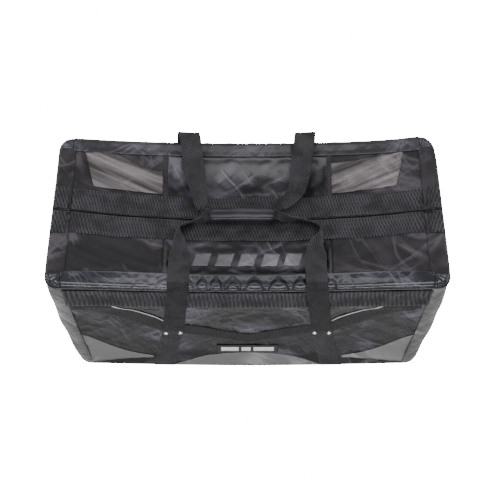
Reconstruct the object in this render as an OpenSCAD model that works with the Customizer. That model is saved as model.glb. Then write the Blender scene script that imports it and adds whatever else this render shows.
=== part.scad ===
// Carry bag for hockey equipment: soft walls, zipped two-leaf top, strap handles.
// Origin: centre of the base on the floor. X along the bag, -Y the front, +Z up. Millimetres.

/* [Body] */
// Overall length at the rim
bag_length = 914; // [760:2:1010]
// Depth front to back
bag_depth = 420; // [340:2:480]
// Height of the top leaves
bag_height = 390; // [320:2:440]
// Length of the base
base_length = 866; // [720:2:1000]
// Radius of the four upright corners
corner_r = 40; // [25:1:60]
// Wall fabric with its padding
wall_t = 4; // [2:0.5:8]

/* [Webbing] */
// Width of the handle webbing
strap_w = 50.8; // [38:0.1:64]
// Thickness of all webbing
strap_t = 2.5; // [1.5:0.1:4]
// Half spacing of the front straps at the rim
strap_rim_x = 160; // [120:1:200]
// Half spacing of the rear straps at the rim
rear_rim_x = 135; // [110:1:200]
// Half spacing of the straps at the rivets
strap_rivet_x = 181; // [140:1:220]
// Half spacing of the straps at the base
strap_base_x = 211; // [150:1:250]
// Height of the rivets
rivet_z = 172; // [120:1:240]
// Rivet spacing across one strap
rivet_gap = 34; // [20:1:40]
// Lower edge of the band under the rim
band_low = 298; // [250:1:320]
// Upper edge of the band under the rim
band_high = 372; // [330:1:380]

/* [Top] */
// Width of the rim band
rim_w = 38; // [25:1:60]
// Outer edge of the webbing beside the zip, from the middle
zip_web_out = 62; // [40:1:80]
// Inner edge of the webbing beside the zip
zip_web_in = 10; // [8:1:16]
// Inner and outer ends of the mesh windows
mesh_in = 205; // [180:1:240]
// Outer end of the mesh windows
mesh_out = 385; // [300:1:400]

/* [Handle] */
// Length of the grip
grip_len = 156; // [120:1:200]
// Middle of the grip along the bag
grip_x = -13; // [-30:1:30]
// Width of each folded grip webbing
grip_w = 20; // [16:1:26]
// Underside of the grip webbing
grip_z = 402; // [400:1:430]
// Top of the standing rear loops
loop_z = 441; // [410:1:450]

/* [Zip] */
// Slider length
slider_len = 16; // [12:1:24]
// Pull tab length
pull_len = 32; // [20:1:45]

/* [Hidden] */
gap = 0.3;
lean = atan((bag_length - base_length) / 2 / bag_height);
seam_step = tan(lean);
half_base = base_length / 2;
half_depth = bag_depth / 2;
base_t = 3;
leaf_low = bag_height - wall_t;
wall_top = leaf_low - 0.5;
end_in = bag_length / 2 - corner_r;
leaf_half = end_in - 0.5;
layer1_in = half_depth + gap;
layer1_out = layer1_in + strap_t;
layer2_in = layer1_out + gap;
layer2_out = layer2_in + strap_t;
hinge_y = layer2_out + 0.5;
top1 = bag_height + gap;
top1_out = top1 + strap_t;
top2 = top1_out + gap;
top2_out = top2 + strap_t;
hinge_z = top2_out + 0.5;
leaf_edge = half_depth - 0.3;
chain_in = 1.3;
chain_out = 5;
slider_x = end_in + corner_r / 2;
pin_z = top1 + 4.6;
pin_r = 1;
grip_left = grip_x - grip_len / 2;
grip_right = grip_x + grip_len / 2;
front_grip_y = -11;
rear_grip_y = 12;
gusset_in = 236;
gusset_low = 42;
gusset_rise = 0.0045;
patch_half = 190;
patch_top = 57;
label_w = 154;
label_low = 61;
label_high = 95;
slope_len = (bag_height + 20) / cos(lean);
$fn = 64;

// Half width of the front wall at height z, up to the corner seam
function seam_x(z) = half_base - corner_r / cos(lean) + z * seam_step;

// Plain box between two corners
module box(low, high) {
    translate(low)
        cube([high[0] - low[0], high[1] - low[1], high[2] - low[2]]);
}

// Everything between two heights
module level(z0, z1) {
    intersection() {
        children();
        box([-700, -400, z0], [700, 400, z1]);
    }
}

// Places a right-hand end piece; side -1 mirrors it to the left
module at_end(side) {
    mirror([side < 0 ? 1 : 0, 0, 0])
        translate([half_base, 0, 0])
            rotate([0, lean, 0])
                children();
}

// Plan outline of the end in the leaning frame, grown by g
module end_outline(g) {
    translate([-200, 0])
        offset(r = corner_r + g)
            square([400 - 2 * corner_r, bag_depth - 2 * corner_r], center = true);
}

// Ring that follows the end outline between two offsets, from y0 to y1, from x0 outward
module end_ring(g0, g1, x0, y0, y1) {
    intersection() {
        difference() {
            end_outline(g1);
            end_outline(g0);
        }
        translate([x0, y0])
            square([200, y1 - y0]);
    }
}

// Upright sheet on the front, drawn in X and Z, between two depths
module on_front(d0, d1) {
    translate([0, -d0, 0])
        rotate([90, 0, 0])
            linear_extrude(height = d1 - d0)
                children();
}

// Upright sheet on the rear, the same shape
module on_rear(d0, d1) {
    mirror([0, 1, 0])
        on_front(d0, d1)
            children();
}

// Both sides of the middle
module both_sides() {
    children();
    mirror([1, 0, 0])
        children();
}

// Trapezoid wall between the corner seams
module wall_shape(z0, z1, inset) {
    polygon([[-seam_x(z0) + inset, z0], [seam_x(z0) - inset, z0],
        [seam_x(z1) - inset, z1], [-seam_x(z1) + inset, z1]]);
}

// Outline of a sewn strap, splayed below the rivets
module strap_shape(rim_x, z1) {
    h = strap_w / 2;
    polygon([[strap_base_x - h, base_t + 2], [strap_base_x + h, base_t + 2],
        [strap_rivet_x + h, rivet_z], [rim_x + h, z1],
        [rim_x - h, z1], [strap_rivet_x - h, rivet_z]]);
}

// Flat webbing run through a list of [x, y, z, turn, width]
module strap_run(points) {
    for (i = [0 : len(points) - 2])
        hull() {
            strap_bar(points[i]);
            strap_bar(points[i + 1]);
        }
}

// One cross bar of a webbing run
module strap_bar(p) {
    translate([p[0], p[1], p[2]])
        rotate([0, 0, p[3]])
            cube([p[4], strap_t, strap_t], center = true);
}

module base_panel() {
    color([0.05, 0.05, 0.055])
        linear_extrude(height = base_t)
            offset(r = corner_r)
                square([base_length - 2 * corner_r, bag_depth - 2 * corner_r], center = true);
}

module base_board() {
    color([0.12, 0.12, 0.13])
        translate([0, 0, base_t + gap])
            linear_extrude(height = 4)
                offset(r = 20)
                    square([base_length - 90, bag_depth - 80], center = true);
}

module front_panel() {
    color([0.05, 0.05, 0.055])
        on_front(half_depth - wall_t, half_depth)
            wall_shape(base_t, wall_top, gap);
}

module rear_panel() {
    color([0.05, 0.05, 0.055])
        on_rear(half_depth - wall_t, half_depth)
            wall_shape(base_t, wall_top, gap);
}

module end_panel(side) {
    flat = half_depth - corner_r - gap;
    level(base_t, wall_top)
        at_end(side)
            box([-wall_t, -flat, -10], [0, flat, slope_len]);
}

module end_panel_left() {
    color([0.05, 0.05, 0.055])
        end_panel(-1);
}

module end_panel_right() {
    color([0.05, 0.05, 0.055])
        end_panel(1);
}

// Quarter-round strip at one upright corner
module corner_strip(side, y0, y1) {
    level(base_t, wall_top)
        at_end(side)
            translate([0, 0, -10])
                linear_extrude(height = slope_len)
                    end_ring(-wall_t, 0, -corner_r, y0, y1);
}

module corner_strips_front() {
    color([0.45, 0.45, 0.46])
        for (side = [-1, 1])
            corner_strip(side, -half_depth, -half_depth + corner_r);
}

module corner_strips_rear() {
    color([0.45, 0.45, 0.46])
        for (side = [-1, 1])
            corner_strip(side, half_depth - corner_r, half_depth);
}

// Fixed rim at one end, slotted for the end of the zip
module end_rim(side) {
    mirror([side < 0 ? 1 : 0, 0, 0])
        translate([0, 0, leaf_low])
            linear_extrude(height = wall_t)
                difference() {
                    offset(r = corner_r)
                        square([bag_length - 2 * corner_r, bag_depth - 2 * corner_r], center = true);
                    translate([-bag_length, -bag_depth])
                        square([bag_length + end_in, 2 * bag_depth]);
                    translate([end_in - 1, -zip_web_in - 0.4])
                        square([corner_r - 4, 2 * zip_web_in + 0.8]);
                }
}

module end_rim_left() {
    color([0.04, 0.04, 0.045])
        end_rim(-1);
}

module end_rim_right() {
    color([0.04, 0.04, 0.045])
        end_rim(1);
}

module band_front() {
    color([0.08, 0.08, 0.085])
        on_front(layer1_in, layer1_out)
            wall_shape(band_low, band_high, gap);
}

module band_rear() {
    color([0.08, 0.08, 0.085])
        on_rear(layer1_in, layer1_out)
            wall_shape(band_low, band_high, gap);
}

// Band round one end and both of its corners
module band_end(side) {
    level(band_low, band_high)
        at_end(side)
            linear_extrude(height = slope_len)
                end_ring(gap, gap + strap_t, -corner_r, -bag_depth, bag_depth);
}

module band_end_left() {
    color([0.08, 0.08, 0.085])
        band_end(-1);
}

module band_end_right() {
    color([0.08, 0.08, 0.085])
        band_end(1);
}

// Sewn strap that hooks over the front rim
module strap_front() {
    h = strap_w / 2;
    on_front(layer2_in, layer2_out)
        strap_shape(strap_rim_x, top2_out);
    box([strap_rim_x - h, -layer2_out, top2], [strap_rim_x + h, -half_depth - 0.5, top2_out]);
}

module strap_front_left() {
    color([0.07, 0.07, 0.075])
        mirror([1, 0, 0])
            strap_front();
}

module strap_front_right() {
    color([0.07, 0.07, 0.075])
        strap_front();
}

module strap_rear_left() {
    color([0.07, 0.07, 0.075])
        mirror([1, 0, 0])
            on_rear(layer2_in, layer2_out)
                strap_shape(rear_rim_x, top2_out);
}

module strap_rear_right() {
    color([0.07, 0.07, 0.075])
        on_rear(layer2_in, layer2_out)
            strap_shape(rear_rim_x, top2_out);
}

// Two domed rivet heads with washers on each strap, on the front
module rivet_row() {
    for (x = [-strap_rivet_x, strap_rivet_x], s = [-0.5, 0.5])
        translate([x + s * rivet_gap, -layer2_out, rivet_z - 3])
            rotate([90, 0, 0]) {
                cylinder(r = 5.5, h = 0.8);
                cylinder(r1 = 4.2, r2 = 3, h = 2.4);
            }
}

module rivets_front() {
    color([0.8, 0.8, 0.82])
        rivet_row();
}

module rivets_rear() {
    color([0.8, 0.8, 0.82])
        mirror([0, 1, 0])
            rivet_row();
}

// Right half of the dark V that crosses the front
module chevron_half() {
    polygon([[-0.1, 110], [160, 160], [205, 164], [seam_x(284) - 1, 284],
        [seam_x(band_low) - 1, band_low - 0.5], [323, band_low - 0.5], [203, 220],
        [160, 205], [-0.1, 155]]);
}

module chevron() {
    color([0.03, 0.03, 0.035])
        on_front(layer1_in, layer1_out)
            both_sides()
                chevron_half();
}

module chevron_piping() {
    color([0.6, 0.6, 0.62])
        on_front(layer1_in, layer1_out)
            both_sides()
                polygon([[203, 220.6], [322, band_low - 0.5], [314.5, band_low - 0.5],
                    [203, 225.6]]);
}

module corner_gussets() {
    steps = 16;
    span = seam_x(60) - 2 - gusset_in;
    curve = [for (i = [0 : steps])
        [gusset_in + span * i / steps, gusset_low + gusset_rise * pow(span * i / steps, 2)]];
    color([0.4, 0.4, 0.41])
        on_front(layer1_in, layer1_out)
            both_sides()
                polygon(concat(curve, [[seam_x(14) - 2, 14], [gusset_in + 1, 33]]));
}

module centre_patch() {
    steps = 24;
    curve = [for (i = [-steps : steps])
        [patch_half * i / steps, 5 + (patch_top - 5) * (1 - pow(i / steps, 2))]];
    color([0.4, 0.4, 0.41])
        on_front(layer1_in, layer1_out)
            polygon(concat(curve, [[patch_half - 4, 4], [4 - patch_half, 4]]));
}

module label() {
    color([0.2, 0.2, 0.2])
        on_front(layer1_in, layer1_out)
            translate([-label_w / 2, label_low])
                square([label_w, label_high - label_low]);
}

// Outside of the leaning end wall at height z, plus a distance g
function end_x(z, g) = half_base + z * seam_step + g / cos(lean);

// Webbing beside the zip carried over both end rims
module zip_web_ends() {
    low = band_high + 0.5;
    color([0.08, 0.08, 0.085])
        for (turn = [0, 1], y = [zip_web_out, -zip_web_in])
            mirror([turn, 0, 0])
                translate([0, y, 0])
                    rotate([90, 0, 0])
                        linear_extrude(height = zip_web_out - zip_web_in)
                            polygon([[end_in + 0.5, top1], [end_x(top1, gap), top1],
                                [end_x(low, gap), low], [end_x(low, gap + strap_t), low],
                                [end_x(top1_out, gap + strap_t), top1_out],
                                [end_in + 0.5, top1_out]]);
}

// Zip tape with its row of teeth, from x0 to x1, on one side of the middle
module zip_half(x0, x1) {
    box([x0, chain_out - 0.5, leaf_low + 1], [x1, zip_web_in, leaf_low + 2.2]);
    box([x0, chain_in, leaf_low - 0.2], [x1, chain_out, leaf_low + 3.4]);
}

module zip_chain_ends() {
    color([0.1, 0.1, 0.1])
        for (turn = [0, 1], side = [0, 1])
            mirror([turn, 0, 0])
                mirror([0, side, 0])
                    zip_half(end_in + 0.5, end_in + corner_r - 6);
}

// Flat piece of a top leaf at the front, between two distances from the middle
module leaf_strip(y0, y1, x0, x1) {
    box([x0, -y1, leaf_low], [x1, -y0, bag_height]);
}

module front_leaf_rim() {
    color([0.04, 0.04, 0.045])
        leaf_strip(half_depth - rim_w + gap, leaf_edge, -leaf_half, leaf_half);
}

module front_leaf_panel() {
    color([0.05, 0.05, 0.055])
        leaf_strip(zip_web_in + gap, half_depth - rim_w, -leaf_half, leaf_half);
}

// Webbing along the zip on the front leaf
module zip_web() {
    box([-leaf_half, -zip_web_out, top1], [leaf_half, -zip_web_in, top1_out]);
}

module front_zip_web() {
    color([0.08, 0.08, 0.085])
        zip_web();
}

module front_zip_chain() {
    color([0.1, 0.1, 0.1])
        mirror([0, 1, 0])
            zip_half(-leaf_half, leaf_half);
}

// Plain slanted stripes on the front leaf
module front_mark() {
    color([0.5, 0.5, 0.52])
        translate([0, -115, top1])
            linear_extrude(height = 0.8)
                for (i = [-2 : 2])
                    translate([i * 54, 0])
                        polygon([[-24, -20], [14, -20], [24, 20], [-14, 20]]);
}

module rear_leaf_rim() {
    color([0.04, 0.04, 0.045])
        mirror([0, 1, 0])
            leaf_strip(half_depth - rim_w + gap, leaf_edge, -leaf_half, leaf_half);
}

module rear_leaf_panel() {
    color([0.05, 0.05, 0.055])
        mirror([0, 1, 0])
            leaf_strip(zip_web_in + gap, half_depth - rim_w, 0.2 - mesh_in, mesh_in - 0.2);
}

// Dark fabric beside and behind the mesh windows
module rear_leaf_sides() {
    color([0.04, 0.04, 0.045])
        mirror([0, 1, 0])
            both_sides() {
                leaf_strip(zip_web_in + gap, zip_web_out, mesh_in + 0.2, leaf_half);
                leaf_strip(zip_web_out - 0.1, half_depth - rim_w, mesh_out, leaf_half);
            }
}

module mesh_window() {
    mirror([0, 1, 0])
        leaf_strip(zip_web_out + gap, half_depth - rim_w, mesh_in + 0.2, mesh_out - gap);
}

module mesh_window_left() {
    color([0.45, 0.43, 0.41])
        mirror([1, 0, 0])
            mesh_window();
}

module mesh_window_right() {
    color([0.45, 0.43, 0.41])
        mesh_window();
}

module rear_zip_web() {
    color([0.08, 0.08, 0.085])
        mirror([0, 1, 0])
            zip_web();
}

module rear_zip_chain() {
    color([0.1, 0.1, 0.1])
        zip_half(-leaf_half, leaf_half);
}

// Free strap from the front rim to one end of the grip
module handle_front(side, grip_end) {
    z = top2 + strap_t / 2;
    strap_run([
        [side * strap_rim_x, -half_depth + strap_t, z, 0, strap_w],
        [side * (strap_rim_x - 14), -110, z + 2, -side * 4, strap_w],
        [side * (strap_rim_x - 22), -48, z + 5, -side * 12, strap_w - 6],
        [grip_end + side * 20, -18, grip_z + strap_t / 2, -side * 50, grip_w + 8],
        [grip_end + side * 4, front_grip_y, grip_z + strap_t / 2, -side * 88, grip_w]]);
}

module handle_front_left() {
    color([0.07, 0.07, 0.075])
        handle_front(-1, grip_left - 6);
}

module handle_front_right() {
    color([0.07, 0.07, 0.075])
        handle_front(1, grip_right + 6);
}

module grip_web_front() {
    color([0.07, 0.07, 0.075])
        box([grip_left - 2, front_grip_y - grip_w / 2, grip_z],
            [grip_right + 2, front_grip_y + grip_w / 2, grip_z + 4]);
}

// Sleeve round the front grip webbing with a tongue over the rear one
module grip_wrap() {
    y0 = front_grip_y - grip_w / 2;
    y1 = front_grip_y + grip_w / 2;
    color([0.03, 0.03, 0.035])
        translate([grip_left + 1, 0, 0])
            rotate([90, 0, 90])
                linear_extrude(height = grip_len - 2) {
                    difference() {
                        translate([y0 - 4.6, grip_z - 3.4])
                            square([grip_w + 6.2, 11]);
                        translate([y0 - 0.6, grip_z - 0.6])
                            square([grip_w + 1.2, 5.2]);
                    }
                    translate([y1, grip_z + 5])
                        square([grip_w + 5, 2.6]);
                }
}

// Standing strap loop from the rear rim down to one end of the grip
module handle_rear(side, grip_end) {
    y = layer2_in + strap_t / 2;
    strap_run([
        [side * rear_rim_x, y, top2_out + gap + strap_t / 2, 0, strap_w],
        [side * (rear_rim_x - 1), y - 2, loop_z - 20, 0, strap_w],
        [side * (rear_rim_x - 4), y - 14, loop_z - 2, 0, strap_w],
        [side * (rear_rim_x - 8), y - 34, loop_z - 6, side * 3, strap_w],
        [side * (rear_rim_x - 16), 110, loop_z - 24, side * 5, strap_w],
        [side * (rear_rim_x - 22), 52, grip_z + 4, side * 14, strap_w - 8],
        [grip_end + side * 18, 22, grip_z + 2, side * 50, grip_w + 8],
        [grip_end + side * 4, rear_grip_y, grip_z + strap_t / 2, side * 88, grip_w]]);
}

module handle_rear_left() {
    color([0.07, 0.07, 0.075])
        handle_rear(-1, grip_left - 6);
}

module handle_rear_right() {
    color([0.07, 0.07, 0.075])
        handle_rear(1, grip_right + 6);
}

module grip_web_rear() {
    color([0.07, 0.07, 0.075])
        box([grip_left - 2, rear_grip_y - grip_w / 2, grip_z],
            [grip_right + 2, rear_grip_y + grip_w / 2, grip_z + 4]);
}

// Slider: plates above and below the teeth, joined by a thin web between the two rows
module zip_slider() {
    h = slider_len / 2;
    color([0.3, 0.3, 0.31])
        translate([slider_x, 0, 0]) {
            box([-h, -7.5, bag_height], [h, 7.5, top1 + 1.6]);
            box([-h, -7.5, leaf_low - 3], [h, 7.5, leaf_low - 0.8]);
            box([-h + 3, -0.6, leaf_low - 1], [h - 3, 0.6, bag_height + 0.1]);
            for (y = [-5.4, 3.6])
                box([-2.2, y, top1 + 1.5], [2.2, y + 1.8, pin_z + 1.4]);
            translate([0, 4, pin_z])
                rotate([90, 0, 0])
                    cylinder(r = pin_r, h = 8);
        }
}

// Pull tab, drooping from its pin along the zip
module zip_pull() {
    color([0.3, 0.3, 0.31])
        translate([slider_x, 0, pin_z])
            rotate([0, -5, 0])
                difference() {
                    union() {
                        translate([0, 3.2, 0])
                            rotate([90, 0, 0])
                                cylinder(r = 2.4, h = 6.4);
                        box([-9, -3.2, -0.8], [0, 3.2, 0.8]);
                        box([-pull_len, -5, -0.8], [-8.5, 5, 0.8]);
                    }
                    translate([0, 6, 0])
                        rotate([90, 0, 0])
                            cylinder(r = pin_r + 0.35, h = 12);
                    box([-pull_len + 3, -2, -3], [-pull_len + 13, 2, 3]);
                }
}

base_panel();
base_board();
front_panel();
rear_panel();
end_panel_left();
end_panel_right();
corner_strips_front();
corner_strips_rear();
end_rim_left();
end_rim_right();
band_front();
band_rear();
band_end_left();
band_end_right();
strap_front_left();
strap_front_right();
strap_rear_left();
strap_rear_right();
rivets_front();
rivets_rear();
chevron();
chevron_piping();
corner_gussets();
centre_patch();
label();
zip_web_ends();
zip_chain_ends();
front_leaf_rim();
front_leaf_panel();
front_zip_web();
front_zip_chain();
front_mark();
rear_leaf_rim();
rear_leaf_panel();
rear_leaf_sides();
mesh_window_left();
mesh_window_right();
rear_zip_web();
rear_zip_chain();
handle_front_left();
handle_front_right();
grip_web_front();
grip_wrap();
handle_rear_left();
handle_rear_right();
grip_web_rear();
zip_slider();
zip_pull();
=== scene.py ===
"""Soft hockey equipment bag, sewn from coated fabric, mesh and webbing over a fixed frame."""

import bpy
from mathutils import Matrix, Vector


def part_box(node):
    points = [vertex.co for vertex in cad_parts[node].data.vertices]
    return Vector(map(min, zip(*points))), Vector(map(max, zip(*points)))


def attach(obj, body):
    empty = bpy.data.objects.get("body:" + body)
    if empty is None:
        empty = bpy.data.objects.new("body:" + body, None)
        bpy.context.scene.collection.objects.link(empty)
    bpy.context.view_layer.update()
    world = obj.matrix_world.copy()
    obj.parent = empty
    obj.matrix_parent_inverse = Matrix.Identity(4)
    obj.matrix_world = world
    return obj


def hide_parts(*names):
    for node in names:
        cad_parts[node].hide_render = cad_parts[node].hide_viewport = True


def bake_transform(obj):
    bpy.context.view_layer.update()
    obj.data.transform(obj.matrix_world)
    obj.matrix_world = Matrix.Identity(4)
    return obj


bl_info = {
    "name": "Hockey equipment bag",
    "version": (1, 0, 0),
    "blender": (4, 5, 0),
    "location": "View3D > Sidebar > Bag",
    "description": "Sews the panels, webbing, handles and zip of a large equipment bag",
    "category": "Add Mesh",
}
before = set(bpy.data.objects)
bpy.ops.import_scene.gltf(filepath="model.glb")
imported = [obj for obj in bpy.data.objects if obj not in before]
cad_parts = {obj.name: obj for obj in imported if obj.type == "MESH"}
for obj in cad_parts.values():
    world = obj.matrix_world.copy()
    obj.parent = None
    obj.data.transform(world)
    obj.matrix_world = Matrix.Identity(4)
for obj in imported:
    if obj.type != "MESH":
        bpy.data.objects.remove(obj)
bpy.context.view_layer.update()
import math

import bpy
import numpy as np
from bpy.props import FloatProperty, FloatVectorProperty, PointerProperty

RIM_EDGE = 0.012        # roll of the top edge
CORNER = 0.032          # upright corner radius
BASE_ROLL = 0.008       # roll of the bottom edge
RIM_HALF = 0.457        # middle of the bag to the end of its rim
END_WIDTH = 0.34        # flat width of an end wall
LEAF_END = 0.417        # middle of the bag to the end of a leaf's rim band
LEAF_Y = 0.172          # zip line to the rim band of a leaf
CENTRE_X = 0.2          # middle of the bag to the side seams of the centre panels
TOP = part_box("front_leaf_panel")[1][2] - 0.001
SEAM_TOP = TOP - RIM_EDGE
LEAF_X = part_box("front_leaf_panel")[1][0]
RIM_RUN = RIM_EDGE * math.pi / 2 + 0.038 - RIM_EDGE     # run of a rim band over its roll
LIP = 0.008             # how much wider the front rim band is
WEB_OUT = 0.062         # outer edge of the webbing beside the zip
WEB_IN = 0.0036         # its inner edge
SKIN = 0.0012           # thickness of the coated cloth and the nets
BAND_THICK = 0.0018     # thickness of the bands
STRAP_THICK = 0.0022    # thickness of the handle webbing
STRAP_WIDTH = 0.0508    # width of the handle webbing
SEWN_LIFT = 0.0034      # outer face of a sewn strap off its wall
FRONT_STRAP = 0.160     # middle of the bag to the front straps at the rim
REAR_STRAP = 0.138      # middle of the bag to the rear straps at the rim
BAND_LOW, BAND_HIGH = 0.299, 0.369      # edges of the ribbed band under the rim
WHITE = 22.0            # brightness at which the floor and the backdrop show as plain white


def places(*values):
    """Arrays of one shape."""
    return np.broadcast_arrays(*(np.asarray(v, float) for v in values))


def grid(a, b):
    """Two grids, one over a and one over b."""
    return np.meshgrid(a, b, indexing="ij")


def on_cloth(a, b):
    """Flat places from two grids."""
    return np.stack([a, b], -1)


def run(a0, a1, step):
    """Even values from a0 to a1, about a step apart."""
    return np.linspace(a0, a1, max(3, int(abs(a1 - a0) / step) + 2))


def all_round(flat, corner, end):
    """Values of u round the whole outline, with a step for each kind of stretch."""
    half = (flat, corner, end, corner)
    stretches = zip((-5, -4, -3, -2, -1, 1, 2, 3, 4), (-4, -3, -2, -1, 1, 2, 3, 4, 5), half + half + (flat,))
    return np.concatenate([run(*stretch)[:-1] for stretch in stretches] + [[5.0]])


# ---------------------------------------------------------------- the sewn shape

def half_length(z):
    """Middle to the end wall at height z."""
    s = bpy.context.scene.bag_sizes
    return s.base_half + (s.rim_half - s.base_half) * np.clip(z / TOP, 0, 1) ** 0.85


def bottom_inset(z):
    """How far the rolled bottom edge stands in at height z."""
    d = np.clip(BASE_ROLL - z, 0, BASE_ROLL)
    return BASE_ROLL - np.sqrt(np.maximum(BASE_ROLL ** 2 - d ** 2, 0))


def ring(u, z, e):
    """Plan point on the outline. u counts straight and round stretches from the front middle."""
    u, z, e = places(u, z, e)
    e = e + bottom_inset(z)
    b = bpy.context.scene.bag_sizes.half_depth
    a = half_length(z)
    side, q = np.where(u < 0, -1.0, 1.0), np.abs(u)
    xs, ys, r = a - CORNER, b - CORNER, np.maximum(CORNER - e, 0.002)
    first, last = (q - 1) * math.pi / 2, (q - 3) * math.pi / 2
    x = np.select([q <= 1, q <= 2, q <= 3, q <= 4],
                  [xs * q, xs + r * np.sin(first), a - e, xs + r * np.cos(last)], xs * (5 - q))
    y = np.select([q <= 1, q <= 2, q <= 3, q <= 4],
                  [e - b, -ys - r * np.cos(first), -ys + 2 * ys * (q - 2), ys + r * np.sin(last)], b - e)
    return side * x, y


def hang(x, y):
    """How far the top hangs below its rim."""
    s = bpy.context.scene.bag_sizes
    along = np.clip(1 - (x / 0.447) ** 2, 0, 1)
    return s.zip_sag * along * np.clip(1 - (np.abs(y) / s.half_depth) ** 2, 0, 1)


def slump(p):
    """Lets the filled walls bow out, the rear rim sink in the middle and its right corner draw in."""
    x, y, z = p[..., 0], p[..., 1], p[..., 2]
    mid = np.clip(np.cos(np.clip(x / 0.90, -0.5, 0.5) * math.pi), 0, 1) ** 1.3
    up = np.clip(z / TOP, 0, 1)
    rear = np.clip(y / 0.21, 0, 1) ** 3
    front = np.clip(-y / 0.21, 0, 1) ** 4
    belly = np.sin(up * math.pi * 0.93) ** 0.8
    q = p.copy()
    q[..., 2] += rear * up ** 4 * ((0.018 + 0.013 * x) * (np.abs(x) / RIM_HALF) ** 5 - 0.007 * mid)
    q[..., 1] += rear * mid * (0.008 * belly - 0.008 * up ** 4)
    q[..., 1] -= front * mid * (0.006 * belly * up + 0.002 + 0.006 * (1 - up) ** 2 + 0.004 * up ** 6)
    ends = np.clip((np.abs(x) - 0.36) / 0.08, 0, 1) ** 2
    fuller = 0.004 + 0.010 * np.clip(0.6 - y / 0.35, 0, 1)
    q[..., 0] += np.sign(x) * ends * fuller * (0.35 + 0.65 * np.sin(up * math.pi * 0.8) ** 0.7)
    q[..., 0] -= 0.013 * np.clip(x / RIM_HALF, 0, 1) ** 6 * rear ** 2 * up ** 2
    return q


def roll_height(e):
    """Height of the rolled rim, a distance e in from the wall."""
    k = np.clip(RIM_EDGE - e, 0, RIM_EDGE)
    return TOP - RIM_EDGE + np.sqrt(np.maximum(RIM_EDGE ** 2 - k ** 2, 0))


def hull_at(u, t):
    """Wall and rolled rim. t is the run up the wall, nought where the wall meets the roll."""
    u, t = places(u, t)
    turn = np.clip(t / RIM_EDGE, 0, math.pi / 2)
    e = RIM_EDGE * (1 - np.cos(turn)) + np.maximum(t - RIM_EDGE * math.pi / 2, 0)
    z = SEAM_TOP + np.minimum(t, 0) + RIM_EDGE * np.sin(turn)
    x, y = ring(u, z, e)
    return slump(np.stack([x, y, z - hang(x, y) * (t > 0)], -1))


def top_at(x, y):
    """The top between its rim bands."""
    x, y = places(x, y)
    b = bpy.context.scene.bag_sizes.half_depth
    e = np.minimum(b - np.abs(y), RIM_HALF - np.abs(x))
    return slump(np.stack([x, y, roll_height(np.maximum(e, 0)) - hang(x, y)], -1))


def across(z):
    """Half width of the flat front between its corner seams at height z."""
    return half_length(z) - CORNER


FIELDS = {}     # depth grids of the settled cloths, by wall


def field(name, a, b):
    """Depth of a settled cloth field at a, b, between its grid points."""
    if name not in FIELDS:
        return 0.0
    grid, (a0, a1), (b0, b1) = FIELDS[name]
    n, m = grid.shape
    i = np.clip((a - a0) / (a1 - a0) * (n - 1), 0, n - 1.001)
    j = np.clip((b - b0) / (b1 - b0) * (m - 1), 0, m - 1.001)
    i0, j0 = i.astype(int), j.astype(int)
    f, g = i - i0, j - j0
    return (grid[i0, j0] * (1 - f) * (1 - g) + grid[i0 + 1, j0] * f * (1 - g)
            + grid[i0, j0 + 1] * (1 - f) * g + grid[i0 + 1, j0 + 1] * f * g)


def lifted(shape, a, b, lift, depth=0.0, flip=False):
    """Points of a surface raised off it along its own normal, and those normals."""
    a, b = places(a, b)
    h = 1e-4
    p = shape(a, b)
    n = np.cross(shape(a + h, b) - shape(a - h, b), shape(a, b + h) - shape(a, b - h))
    n /= np.maximum(np.linalg.norm(n, axis=-1, keepdims=True), 1e-12)
    if flip:
        n = -n
    return p + n * np.broadcast_to(lift + depth, a.shape)[..., None], n


def front_face(x, z, lift):
    """A place on the front wall."""
    x, z = places(x, z)
    return lifted(lambda a, b: hull_at(a / across(b), b - SEAM_TOP), x, z, lift, field("front", x, z))


def rear_u(u):
    """The outline's u on the rear wall, where u runs from -1 to 1 like the front wall's."""
    return np.where(u < 0, -1.0, 1.0) * (5 - np.abs(u))


def rear_face(x, z, lift):
    """A place on the rear wall."""
    x, z = places(x, z)
    side = np.where(x < 0, -1.0, 1.0)
    return lifted(lambda a, b: hull_at(side * (5 - np.abs(a) / across(b)), b - SEAM_TOP), x, z, lift,
                  field("rear", x, z), flip=True)


def side_wall(u, z, lift):
    """A place round either end, u from 1 to 4 on the right and -1 to -4 on the left."""
    u, z = places(u, z)
    depth = np.where((np.abs(u) > 2) & (np.abs(u) < 3), field("end", (np.abs(u) - 2.5) * END_WIDTH, z), 0)
    return lifted(lambda a, b: hull_at(a, b - SEAM_TOP), u, z, lift, depth)


def rim_roll(u, t, lift):
    """A place on the rolled rim."""
    return lifted(hull_at, u, t, lift)


def top_face(x, y, lift):
    """A place on the top."""
    x, y = places(x, y)
    return lifted(top_at, x, y, lift, np.where(y < 0, field("top_front", x, y), field("top_rear", x, y)))


def top_cloth(x, y, lift):
    """A place on the top, with its normal turned up."""
    p, n = top_face(x, y, lift)
    return p, np.where(n[..., 2:3] < 0, -n, n)


# ---------------------------------------------------------------- settling the cloth

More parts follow.
